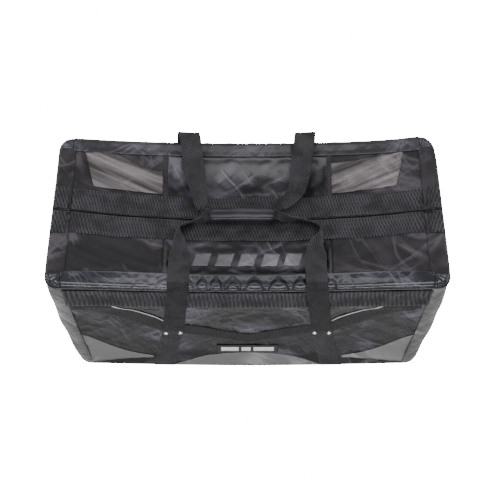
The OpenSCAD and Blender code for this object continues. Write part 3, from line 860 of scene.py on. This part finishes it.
class BAG_OT_rims(bpy.types.Operator):
    """Sews the vinyl rim bands and their piping"""
    bl_idname = "bag.rims"
    bl_label = "Rim bands"

    def execute(self, context):
        c = cloths()
        for side, leaf in ((-1, "front"), (1, "rear")):
            gu, gt = grid(run(-1, 1, 0.006), run(0, RIM_RUN + (LIP if side < 0 else 0.001), 0.0022))
            if side < 0:
                gt = gt * (RIM_RUN + LIP * (1 - np.abs(gu) ** 6)) / (RIM_RUN + LIP)
            p, n = rim_roll(gu if side < 0 else rear_u(gu), gt, 0.0)
            over = np.clip((gt - RIM_RUN + 0.012) / 0.012, 0, 1)
            if side > 0:
                n = -n
            n = np.where((n[..., 2:3] < 0) & (gt[..., None] > 0.01), -n, n)
            p = p + n * (pucker(gu, gt, side) + 0.0016 * over)[..., None]
            piece = slab(leaf + "_rim_band", p, n, BAND_THICK, on_cloth(gu * LEAF_END, gt),
                         c["rim_pvc" if side < 0 else "rear_rim"], None, leaf + "_leaf_rim")
            sheet_of(piece)
            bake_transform(piece)
        for side, tag in ((-1, "left"), (1, "right")):
            u = np.concatenate([run(1, 2, 0.05)[:-1], run(2, 3, 0.04)[:-1], run(3, 4, 0.05)])
            gu, gt = grid(side * u, run(0, RIM_RUN + 0.0017, 0.0024))
            p, n = rim_roll(gu, gt, 0.0)
            wave = 0.0010 * np.sin(np.abs(gu) * 21) * np.sin(np.clip(gt / RIM_RUN, 0, 1) * math.pi)
            p[..., 2] -= 0.0045 * np.exp(-(p[..., 1] / 0.020) ** 4) * np.clip((gt - 0.012) / 0.008, 0, 1)
            piece = slab("end_rim_band_" + tag, p + n * wave[..., None], n, BAND_THICK, on_cloth(gu * END_WIDTH, gt),
                         c["dark_mesh"], "bag", "end_rim_" + tag)
            piece.data.materials.append(c["rim_pvc"])
            for f in piece.data.polygons:
                f.material_index = int(abs(f.center[1]) > LEAF_Y)
            sheet_of(piece)
            gx, gy = grid(side * run(0.398, 0.424, 0.004), run(-LEAF_Y, LEAF_Y, 0.008))
            p, n = top_cloth(gx, gy, 0.0)
            slab("end_facing_" + tag, p - n * 0.0017, n, SKIN, on_cloth(gx, gy), c["dark_mesh"], "bag")
        u = all_round(0.02, 0.06, 0.04)
        for name, height, radius in (("rim_piping", -0.0015, 0.0019), ("base_piping", 0.004 - SEAM_TOP, 0.0016)):
            p = hull_at(u, np.full(u.shape, height))
            away = p * np.array([1, 1, 0])
            away /= np.linalg.norm(away, axis=1, keepdims=True)
            centre = p + away * (0.0006 if height < -0.1 else 0.0012)
            centre[:, 2] = np.maximum(centre[:, 2], radius)
            tube(name, centre, radius, c["rim_pvc"], "bag", 8)
        return {"FINISHED"}


def drawn(name, face, gx, gz, lift, thick, material, body, cad=None):
    """A piece over a grid of flat places, standing lift off the face."""
    p, n = face(gx, gz, lift + thick)
    return slab(name, p, n, thick, on_cloth(gx, gz), material, body, cad)


def between(x, low, high, rows):
    """Grids of the places between two lines over x."""
    low, high = (np.broadcast_to(v, x.shape) for v in (low, high))
    t = np.linspace(0, 1, rows)[None, :]
    gx = np.broadcast_to(x[:, None], (len(x), rows)).copy()
    return gx, low[:, None] * (1 - t) + high[:, None] * t


class BAG_OT_bands(bpy.types.Operator):
    """Sews the ribbed webbing band under the rim"""
    bl_idname = "bag.bands"
    bl_label = "Ribbed bands"

    def execute(self, context):
        c = cloths()
        for name, face, cad in (("front_band", front_face, "band_front"), ("rear_band", rear_face, "band_rear")):
            gu, gz = grid(run(-1, 1, 0.006), run(BAND_LOW, BAND_HIGH, 0.006))
            gx = gu * across(gz)
            rib = 0.0007 * np.sin(gx * 520 + 1.5 * np.sin(gx * 23 + gz * 40))
            rib = rib + 0.0016 * np.sin(gx * 61 + 2 * np.sin(gx * 9))
            p, n = face(gx, gz, 0.0030 + rib * np.clip(1.3 - np.abs(gz - 0.334) / 0.035, 0, 1))
            slab(name, p, n, BAND_THICK, on_cloth(gx, gz), c["band"], "bag", cad)
        for side, tag in ((-1, "left"), (1, "right")):
            gu, gz = grid(side * run(2.0, 3.0, 0.03), run(0.241, 0.291, 0.006))
            p, n = side_wall(gu, gz, 0.0022)
            slab("end_band_" + tag, p, n, BAND_THICK, on_cloth(gu * END_WIDTH, gz), c["band"], "bag",
                 "band_end_" + tag)
        return {"FINISHED"}


class BAG_OT_front_trim(bpy.types.Operator):
    """Sews the dark V, its piping, the grey corners, the lower patch and the label"""
    bl_idname = "bag.front_trim"
    bl_label = "Front trim"

    def execute(self, context):
        c = cloths()
        x = run(-0.406, 0.406, 0.005)
        q = np.abs(x)
        low = np.interp(q, [0, 0.16, 0.205, 0.406], [0.108, 0.156, 0.164, 0.284])
        high = np.interp(q, [0, 0.16, 0.203, 0.323, 0.406], [0.150, 0.205, 0.220, 0.2975, 0.2975])
        gx, gz = between(x, low, high, 9)
        drawn("chevron_cloth", front_face, gx, gz, 0.0002, 0.0011, c["chevron"], "bag", "chevron")
        bars, corners = [], []
        for side in (-1, 1):
            x = run(0.200, 0.321, 0.005)
            low = np.interp(x, [0.203, 0.323], [0.2206, 0.2980])
            gx, gz = between(x, low, np.minimum(low + 0.0058, 0.2985), 5)
            p, n = front_face(side * gx, gz, 0.0024)
            bars.append(slab("bar", p, n, 0.0020, on_cloth(gx, gz), c["reflective"], None))
            gk, gt = grid(run(0, 1, 0.04), np.linspace(0, 1, 14))
            top = 0.042 + 4.5 * (0.156 * gk) ** 2
            gz = (0.034 - 0.020 * gk) * (1 - gt) + top * gt
            gx = 0.236 + (across(gz) - 0.001 - 0.236) * gk
            p, n = front_face(side * gx, gz, 0.0016)
            corners.append(slab("corner", p, n, 0.0014, on_cloth(gx, gz), c["grey_pvc"], None))
        joined("chevron_piping_bars", bars, "bag", "chevron_piping")
        joined("corner_gussets_cloth", corners, "bag", "corner_gussets")
        x = run(-0.190, 0.190, 0.006)
        gx, gz = between(x, 0.005, 0.007 + 0.050 * (1 - (x / 0.19) ** 2), 9)
        drawn("lower_patch", front_face, gx, gz, 0.0002, 0.0012, c["grey_pvc"], "bag", "centre_patch")
        x = run(-0.077, 0.077, 0.005)
        gx, gz = between(x, 0.061, 0.095, 8)
        drawn("label_plate", front_face, gx, gz, 0.0012, 0.0016, c["label"], "bag", "label")
        marks = []
        for x0, x1 in ((-0.066, -0.022), (-0.015, 0.008), (0.015, 0.066)):
            x = run(x0, x1, 0.004)
            gx, gz = between(x, 0.0685, 0.0875, 4)
            marks.append(drawn("mark", front_face, gx, gz, 0.0028, 0.0008, c["marks"], None))
        joined("label_marks", marks, "bag")
        return {"FINISHED"}


class BAG_OT_leaves(bpy.types.Operator):
    """Sews the two top leaves with their net windows and seam tapes"""
    bl_idname = "bag.leaves"
    bl_label = "Top leaves"

    def execute(self, context):
        c = cloths()
        for side, leaf in ((-1, "front"), (1, "rear")):
            body = leaf + "_leaf"
            for tag, x0, x1, wide in (("left", -LEAF_X, -CENTRE_X, 0.225), ("centre", -CENTRE_X, CENTRE_X, 0.41),
                                      ("right", CENTRE_X, LEAF_X, 0.225)):
                gx, gy = grid(run(x0, x1, 0.006), side * run(LEAF_Y, 0.0012, 0.006))
                kind, finish, cad = "dark_mesh", "dark_mesh", "rear_leaf_sides" if side > 0 else None
                if tag == "centre":
                    kind, finish, cad = "tarpaulin", "top_tarpaulin", leaf + "_leaf_panel"
                p, n = top_cloth(gx, gy, 0.0)
                piece = slab(f"{leaf}_top_{tag}", p, n, SKIN, on_cloth(gx, gy), c[finish], body, cad)
                sheet_of(piece)
        tapes = []
        for x0 in (-CENTRE_X, CENTRE_X):
            gx, gy = grid(np.linspace(x0 - 0.006, x0 + 0.006, 5), run(LEAF_Y, 0.060, 0.006))
            tapes.append(drawn("tape", top_face, gx, gy, 0.0003, 0.0012, c["webbing"], None))
        joined("rear_seam_tapes", tapes, "rear_leaf")
        corners = {"left": ((-0.372, 0.077), (-0.206, 0.067), (-0.395, 0.167), (-0.206, 0.128)),
                   "right": ((0.205, 0.068), (0.360, 0.081), (0.205, 0.150), (0.382, 0.170))}
        for tag, (bl, br, tl, tr) in corners.items():
            s = np.linspace(0, 1, 36)[:, None]
            lo = np.array(bl) * (1 - s) + np.array(br) * s
            hi = np.array(tl) * (1 - s) + np.array(tr) * s
            if tag == "left":
                hi[:, 1] += 0.016 * np.sin(np.clip(s[:, 0] * 1.4, 0, 1) * math.pi)
            flat = spread(lo, hi, 34)
            gx, gy = flat[..., 0], flat[..., 1]
            along = gx - gx.min()
            lean = 0.36 if tag == "left" else -0.40
            q = gy + along * lean + 0.004 * np.sin(along * 34)
            fold = 0.0026 * np.abs(np.sin(q * 140 + 1.2)) * (0.6 + 0.4 * np.sin(along * 26 + q * 60))
            fold = fold + 0.0030 * np.abs(np.sin(q * 57 + 0.5))
            fold = fold * np.sin(np.linspace(0, 1, 36) * math.pi)[:, None] ** 0.5
            fold = fold * np.sin(np.linspace(0, 1, 34) * math.pi)[None, :] ** 0.4
            p, n = top_cloth(gx, gy, 0.0026 + fold)
            piece = slab("net_window_" + tag, p, n, 0.0010, flat, c["grey_mesh"], "rear_leaf",
                         "mesh_window_" + tag)
            sheet_of(piece)
        stripes = []
        for i in range(-2, 3):
            gk, gt = grid(np.linspace(0, 1, 12), np.linspace(0, 1, 8))
            gx = i * 0.054 + (-0.024 + 0.038 * gk) + 0.010 * gt
            gy = -0.135 + 0.040 * gt
            stripes.append(drawn("stripe", top_face, gx, gy, 0.0004, 0.0008, c["stripes"], None))
        joined("front_leaf_stripes", stripes, "front_leaf", "front_mark")
        return {"FINISHED"}


class BAG_OT_zip(bpy.types.Operator):
    """Lays the zip, its teeth and the webbing beside it"""
    bl_idname = "bag.zip"
    bl_label = "Zip and its webbing"

    def execute(self, context):
        c = cloths()
        for side, leaf in ((-1, "front"), (1, "rear")):
            body = leaf + "_leaf"
            gx, gv = grid(run(-LEAF_X, LEAF_X, 0.006), np.linspace(0, 1, 10))
            wander = 0.0009 * np.sin(gx * 31 + side) + 0.0006 * np.sin(gx * 77)
            gy = side * (WEB_IN + wander + (WEB_OUT - WEB_IN) * gv)
            ripple = 0.0010 * np.sin(gx * 88 + 3 * gv + side) * np.sin(gv * math.pi)
            p, n = top_cloth(gx, gy, 0.0024 + ripple)
            slab(leaf + "_zip_webbing", p, n, BAND_THICK, on_cloth(gx, gy), c["zip_webbing"], body,
                 leaf + "_zip_web")
            x = run(-LEAF_X, LEAF_X, 0.0034)
            p, n = top_face(x, np.full(x.shape, side * 0.0028), 0.0006)
            tooth = np.array([(-1, -1, -1), (1, -1, -1), (1, 1, -1), (-1, 1, -1), (-0.7, -0.8, 1), (0.7, -0.8, 1),
                              (0.7, 0.8, 1), (-0.7, 0.8, 1)]) * (0.0011, 0.0022, 0.0012)
            sides = ((0, 3, 2, 1), (4, 5, 6, 7), (0, 1, 5, 4), (1, 2, 6, 5), (2, 3, 7, 6), (3, 0, 4, 7))
            verts = (p[:, None] + tooth).reshape(-1, 3)
            faces = [[8 * i + j for j in f] for i in range(len(x)) for f in sides]
            build(leaf + "_zip_teeth", verts, faces, None, c["zip"], body, leaf + "_zip_chain")
        bands, chain = [], []
        for end in (-1, 1):
            for side in (-1, 1):
                gt, gv = grid(run(RIM_RUN - 0.005, 0.292 - SEAM_TOP, 0.004), np.linspace(0, 1, 9))
                gy = side * (WEB_IN + (WEB_OUT - WEB_IN) * gv)
                u = end * (2.5 + gy / END_WIDTH)
                p, n = rim_roll(u, gt, 0.0026)
                out = p[..., 0:1] * end > 0.44
                n = np.where(np.where(out, n[..., 0:1] * end, n[..., 2:3]) < 0, -n, n)
                bands.append(slab("band", p, n, BAND_THICK, on_cloth(gt, gy), c["zip_webbing"], None))
                gx, gv = grid(run(0.4172, 0.448, 0.004), np.linspace(0, 1, 5))
                gy = side * (0.0008 + 0.0042 * gv)
                p, n = top_cloth(end * gx, gy, 0.0006)
                chain.append(slab("chain", p, n, 0.0016, on_cloth(gx, gy), c["zip"], None))
        joined("zip_webbing_ends", bands, "bag", "zip_web_ends")
        joined("zip_ends", chain, "bag", "zip_chain_ends")
        paint("zip_slider", c["slider_metal"])
        paint("zip_pull", c["slider_metal"])
        return {"FINISHED"}


def strap_sheet(name, face, side, rim, z0, z1, over, lift, material, body, cad=None):
    """A strap lying on a wall from z0 to z1, then over the rim by a run. lift gives its height off the wall at z."""
    v = np.linspace(-0.5, 0.5, 11) * bpy.context.scene.bag_sizes.strap_width
    gz, gv = grid(run(z0, z1, 0.006), v)
    p, n = face(side * strap_x(gz, rim) + gv, gz, lift(gz))
    uv = on_cloth(gv, gz)
    if over > 0:
        gt, gw = grid(run(0.001, over, 0.003), v)
        u = (side * rim + gw) / across(TOP)
        behind = face is rear_face
        q, m = lifted(hull_at, rear_u(u) if behind else u, gt, float(lift(z1)), flip=behind)
        p, n = np.concatenate([p, q]), np.concatenate([n, m])
        uv = np.concatenate([uv, on_cloth(gw, gt + z1)])
    return slab(name, p, n, STRAP_THICK, uv, material, body, cad)


def rivet(face, x, z, material):
    """A domed rivet on a strap, turned round the wall's normal."""
    (p,), (n,) = face(np.array([x]), np.array([z]), SEWN_LIFT)
    a = np.cross(n, [0, 0, 1.0])
    a /= np.linalg.norm(a)
    b = np.cross(n, a)
    profile = ((0.0056, -0.0006), (0.0058, 0.0003), (0.0048, 0.0009), (0.0044, 0.0010), (0.0040, 0.0020),
               (0.0028, 0.0027))
    under, crown, sides = -0.001, 0.0029, 20
    verts = [p + n * under, p + n * crown]
    for r, h in profile:
        verts += [p + n * h + (a * math.cos(t) + b * math.sin(t)) * r
                  for t in np.linspace(0, 2 * math.pi, sides, endpoint=False)]
    faces, last = [], 2 + (len(profile) - 1) * sides
    for j in range(sides):
        q = (j + 1) % sides
        faces += [[0, 2 + j, 2 + q], [1, last + q, last + j]]
        faces += [[i + j, i + sides + j, i + sides + q, i + q] for i in range(2, last, sides)]
    return build("rivet", verts, faces, None, material, None)


class BAG_OT_straps(bpy.types.Operator):
    """Sews the straps to the walls and sets their rivets"""
    bl_idname = "bag.straps"
    bl_label = "Sewn straps and rivets"

    def execute(self, context):
        c = cloths()
        s = context.scene.bag_sizes
        for wall, face, rim, front, over in (("front", front_face, FRONT_STRAP, 1, 0.024),
                                             ("rear", rear_face, REAR_STRAP, -1, 0.004)):
            rivets = []
            for side, tag in ((-1, "left"), (1, "right")):
                strap_sheet(f"{wall}_strap_{tag}_sewn", face, side, rim, 0.004, s.rivet_height + 0.014, 0,
                            lambda z: SEWN_LIFT, c["strap_sewn"], "bag", f"strap_{wall}_{tag}")
                upper = strap_sheet(f"{wall}_strap_{tag}", face, side, rim, s.rivet_height + 0.010, SEAM_TOP, over,
                                    lambda z: 0.0056 + 0.0045 * np.sin(np.clip((z - 0.182) / 0.19, 0, 1) * math.pi),
                                    c["strap_rim"], None)
                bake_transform(upper)
                rivets += [rivet(face, side * s.strap_rivet + k * 0.034, s.rivet_height - 0.003, c["rivet"])
                           for k in (-0.5, 0.5)]
            joined(wall + "_rivets", rivets, "bag", "rivets_" + wall)
        return {"FINISHED"}


def over_top(x, y, lift):
    """A place a lift above the top."""
    return [x, y, float(top_at(x, y)[2]) + lift]


class BAG_OT_handles(bpy.types.Operator):
    """Runs the handle straps from the rims to the grip"""
    bl_idname = "bag.handles"
    bl_label = "Handle straps"

    def execute(self, context):
        c = cloths()
        s = context.scene.bag_sizes
        g = s.grip_height
        for side, tag, end in ((-1, "left", -0.088), (1, "right", 0.062)):
            lay = [[-0.204, 0.0046], [-0.190, 0.0058], [-0.165, 0.0058], [-0.128, 0.0070]]
            pts = [over_top(side * FRONT_STRAP, y, up) + [1, 0, 0, STRAP_WIDTH, 0.0] for y, up in lay]
            if side < 0:
                turn = [[-0.163, -0.100, 0.012, 22, 0.046, 0.3], [-0.167, -0.080, 0.016, 42, 0.044, 0.5],
                        [-0.170, -0.060, 0.019, 66, 0.042, 0.4], [-0.167, -0.042, 0.020, 86, 0.040, 0.2],
                        [-0.155, -0.028, 0.020, 90, 0.038, 0.2], [-0.136, -0.018, 0.020, 90, 0.037, 0.3]]
                last = [[-0.116, -0.009, g - 0.003, 0.0, -0.2, 0.95, 0.034, 0.8],
                        [-0.099, -0.005, g, 0.0, 0.75, 0.60, 0.029, 1.3], [-0.068, -0.004, g, 0, 1, 0, 0.027, 1.3]]
            else:
                turn = [[0.163, -0.102, 0.012, -22, 0.050, 0.1], [0.168, -0.084, 0.016, -45, 0.049, 0.1],
                        [0.176, -0.064, 0.019, -70, 0.046, 0.1], [0.1765, -0.046, 0.020, -88, 0.042, 0.1],
                        [0.170, -0.031, 0.020, -90, 0.040, 0.1], [0.155, -0.019, 0.020, -90, 0.038, 0.1],
                        [0.134, -0.010, 0.021, -90, 0.037, 0.2]]
                last = [[0.106, -0.004, g - 0.004, 0.0, 0.3, -0.95, 0.034, 0.6],
                        [0.076, -0.003, g, 0.0, -0.75, -0.60, 0.029, 1.3], [0.044, -0.003, g, 0, -1, 0, 0.027, 1.3]]
            for x, y, up, degrees, wide, cup in turn:
                a = math.radians(degrees)
                pts.append(over_top(x, y, up) + [math.cos(a), -0.5 * math.sin(a), 0.86 * math.sin(a), wide, cup])
            pts += last
            piece = ribbon(f"front_handle_{tag}", pts, c["webbing"], None, f"handle_front_{tag}")
            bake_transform(piece)
            x1 = side * 0.139
            foot = side * (0.148 if side < 0 else 0.142)
            lh = s.loop_height
            _, back, high = map(float, rear_face(np.array([x1]), np.array([SEAM_TOP]), 0.0062)[0][0])
            pts = [[foot, back + 0.0002, high - 0.012, 1, 0, 0, STRAP_WIDTH, 0.0],
                   [foot, back + 0.002, high + 0.014, 1, 0, 0, STRAP_WIDTH, 0.0],
                   [0.7 * foot + 0.3 * x1, back - 0.001, lh - 0.012, 1, 0, side * 0.07, STRAP_WIDTH, 0.05],
                   [0.4 * foot + 0.6 * x1, back - 0.012, lh, 1, 0, side * 0.09, STRAP_WIDTH, 0.08],
                   [side * REAR_STRAP, 0.182, lh - 0.007, 1, 0, 0, STRAP_WIDTH, 0.1],
                   [side * 0.134, 0.150, 0.402, 1, side * 0.03, 0, STRAP_WIDTH, 0.15],
                   [side * 0.127, 0.105, 0.386, 1, side * 0.10, 0, 0.050, 0.3],
                   [side * 0.117, 0.062, 0.376, 0.95, side * 0.3, 0, 0.044, 0.7],
                   [end + side * 0.022, 0.030, g + 0.004, 0.75, side * 0.65, 0, 0.038, 1.0],
                   [end + side * 0.008, 0.008, g + 0.002, 0.3, side * 0.95, 0, 0.032, 1.3],
                   [end - side * 0.02, 0.003, g + 0.001, 0.0, side * 1.0, 0, 0.028, 1.3]]
            piece = ribbon(f"rear_handle_{tag}", pts, c["webbing"], None, f"handle_rear_{tag}")
            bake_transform(piece)
        for leaf, y, w in (("front", -0.004, 1), ("rear", 0.003, -1)):
            pts = [[x, y, g + up, 0, w, 0, 0.026, 1.0] for x, up in ((-0.095, 0), (-0.013, 0.001), (0.069, 0))]
            ribbon(f"{leaf}_grip_webbing", pts, c["webbing"], leaf + "_handle", f"grip_web_{leaf}", 30, 9)
        return {"FINISHED"}


class BAG_OT_grip(bpy.types.Operator):
    """Wraps the grip in vinyl"""
    bl_idname = "bag.grip"
    bl_label = "Grip wrap"

    def execute(self, context):
        c = cloths()
        g = context.scene.bag_sizes.grip_height
        x = np.concatenate([[-0.0908, -0.0905], np.linspace(-0.0900, 0.0640, 44), [0.0645, 0.0648]])
        ang = np.linspace(0, 2 * math.pi, 48, endpoint=False)
        gx, ga = grid(x, ang)
        mid = (gx + 0.013) / 0.078
        end = np.clip(1 - np.abs(mid) ** 14 * 0.16, 0, 1)
        ca, sa = np.cos(ga), np.sin(ga)
        ry, rz = 0.0172 * end, 0.0128 * end
        y = ry * np.sign(ca) * np.abs(ca) ** 0.75
        z = rz * np.sign(sa) * np.abs(sa) ** 0.85
        lap = np.exp(-((y - 0.003) / 0.0022) ** 2) * (sa > 0)
        wave = 0.0002 * np.sin(gx * 90 + 3 * ca) * np.sin(ga * 2)
        z = z + wave - 0.0022 * lap + 0.0012 * (y > 0.003) * (sa > 0)
        bow = 0.0022 * np.cos(mid * math.pi / 2)
        outer = np.stack([gx, y - 0.003, z + g + bow], -1)
        inner = np.stack([gx, y * 0.86 - 0.003, z * 0.82 + g + bow], -1)
        k, m = gx.shape
        verts = np.concatenate([outer.reshape(-1, 3), inner.reshape(-1, 3)])
        off = k * m
        faces = []
        for i in range(k - 1):
            for j in range(m):
                q = (j + 1) % m
                faces.append([i * m + j, (i + 1) * m + j, (i + 1) * m + q, i * m + q])
                faces.append([off + i * m + j, off + i * m + q, off + (i + 1) * m + q, off + (i + 1) * m + j])
        for i, flip in ((0, False), (k - 1, True)):
            for j in range(m):
                q = (j + 1) % m
                f = [i * m + j, i * m + q, off + i * m + q, off + i * m + j]
                faces.append(f[::-1] if flip else f)
        build("grip_wrap_vinyl", verts, faces, None, c["grip_pvc"], "front_handle", "grip_wrap")
        return {"FINISHED"}


class BAG_OT_stage(bpy.types.Operator):
    """Sets the pale floor, soft lights and camera"""
    bl_idname = "bag.stage"
    bl_label = "Floor, lights and camera"

    def execute(self, context):
        scene = context.scene
        floor = bpy.data.meshes.new("floor")
        floor.from_pydata([(-9, -9, 0), (9, -9, 0), (9, 9, 0), (-9, 9, 0)], [], [(0, 1, 2, 3)])
        ground = bpy.data.objects.new("floor", floor)
        scene.collection.objects.link(ground)
        m, tree, shader = blank("Pale floor", Base_Color=(0.70, 0.70, 0.70, 1), Roughness=0.9, Specular_IOR_Level=0.1,
                                Emission_Color=(1, 1, 1, 1))
        seen = node(tree, "LightPath", {})["Is Camera Ray"]
        fill(tree, shader, {"Emission Strength": maths(tree, "MULTIPLY", seen, WHITE)})
        floor.materials.append(m)
        world = bpy.data.worlds.new("Studio")
        world.use_nodes = True
        tree = world.node_tree
        seen = node(tree, "LightPath", {})["Is Camera Ray"]
        fill(tree, tree.nodes["Background"], {"Color": (1, 1, 1, 1),
                                              "Strength": maths(tree, "MULTIPLY_ADD", seen, WHITE, 0.45)})
        scene.world = world
        for name, spot, turn, size, power in (
                ("Top softbox", (0.0, -0.3, 2.9), (math.radians(-6), 0, 0), (2.6, 1.6), 52),
                ("Front softbox", (0.0, -2.9, 1.5), (math.radians(66), 0, 0), (2.6, 0.45), 48),
                ("Rear softbox", (0.0, 2.6, 1.9), (math.radians(-58), 0, 0), (3.0, 1.0), 14),
                ("Left softbox", (-2.7, 0.2, 1.3), (0, math.radians(-68), 0), (1.4, 2.0), 20),
                ("Right softbox", (2.7, 0.2, 1.3), (0, math.radians(68), 0), (1.4, 2.0), 16)):
            light = bpy.data.lights.new(name, "AREA")
            light.shape = "RECTANGLE"
            light.size, light.size_y = size
            light.energy = power
            lamp = bpy.data.objects.new(name, light)
            lamp.location, lamp.rotation_euler = spot, turn
            scene.collection.objects.link(lamp)
        camera = bpy.data.cameras.new("Camera")
        camera.lens, camera.sensor_width = 95.1, 36
        view = bpy.data.objects.new("Camera", camera)
        view.location = (0, -1.740, 2.971)
        view.rotation_euler = (math.radians(90 - 57.7), 0, 0)
        scene.collection.objects.link(view)
        scene.camera = view
        return {"FINISHED"}


STEPS = (BAG_OT_settle, BAG_OT_walls, BAG_OT_rims, BAG_OT_bands, BAG_OT_front_trim, BAG_OT_leaves, BAG_OT_zip,
         BAG_OT_straps, BAG_OT_handles, BAG_OT_grip, BAG_OT_stage)


class BAG_PT_panel(bpy.types.Panel):
    """Lists the bag's sizes, colours and pieces"""
    bl_idname = "BAG_PT_panel"
    bl_label = "Equipment bag"
    bl_space_type = "VIEW_3D"
    bl_region_type = "UI"
    bl_category = "Bag"

    def draw(self, context):
        for group in (context.scene.bag_sizes, context.scene.bag_colours):
            box = self.layout.box()
            for key in group.__annotations__:
                box.prop(group, key)
        for step in STEPS:
            self.layout.operator(step.bl_idname)


CLASSES = (BagSizes, BagColours) + STEPS + (BAG_PT_panel,)


def register():
    """Adds the bag's classes and its settings."""
    for cls in CLASSES:
        bpy.utils.register_class(cls)
    bpy.types.Scene.bag_sizes = PointerProperty(type=BagSizes)
    bpy.types.Scene.bag_colours = PointerProperty(type=BagColours)


def unregister():
    """Takes the classes and settings away."""
    del bpy.types.Scene.bag_colours
    del bpy.types.Scene.bag_sizes
    for cls in reversed(CLASSES):
        bpy.utils.unregister_class(cls)


def main():
    """Sews the whole bag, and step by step."""
    register()
    for step in STEPS:
        group, name = step.bl_idname.split(".")
        getattr(getattr(bpy.ops, group), name)()


if __name__ == "__main__":
    main()
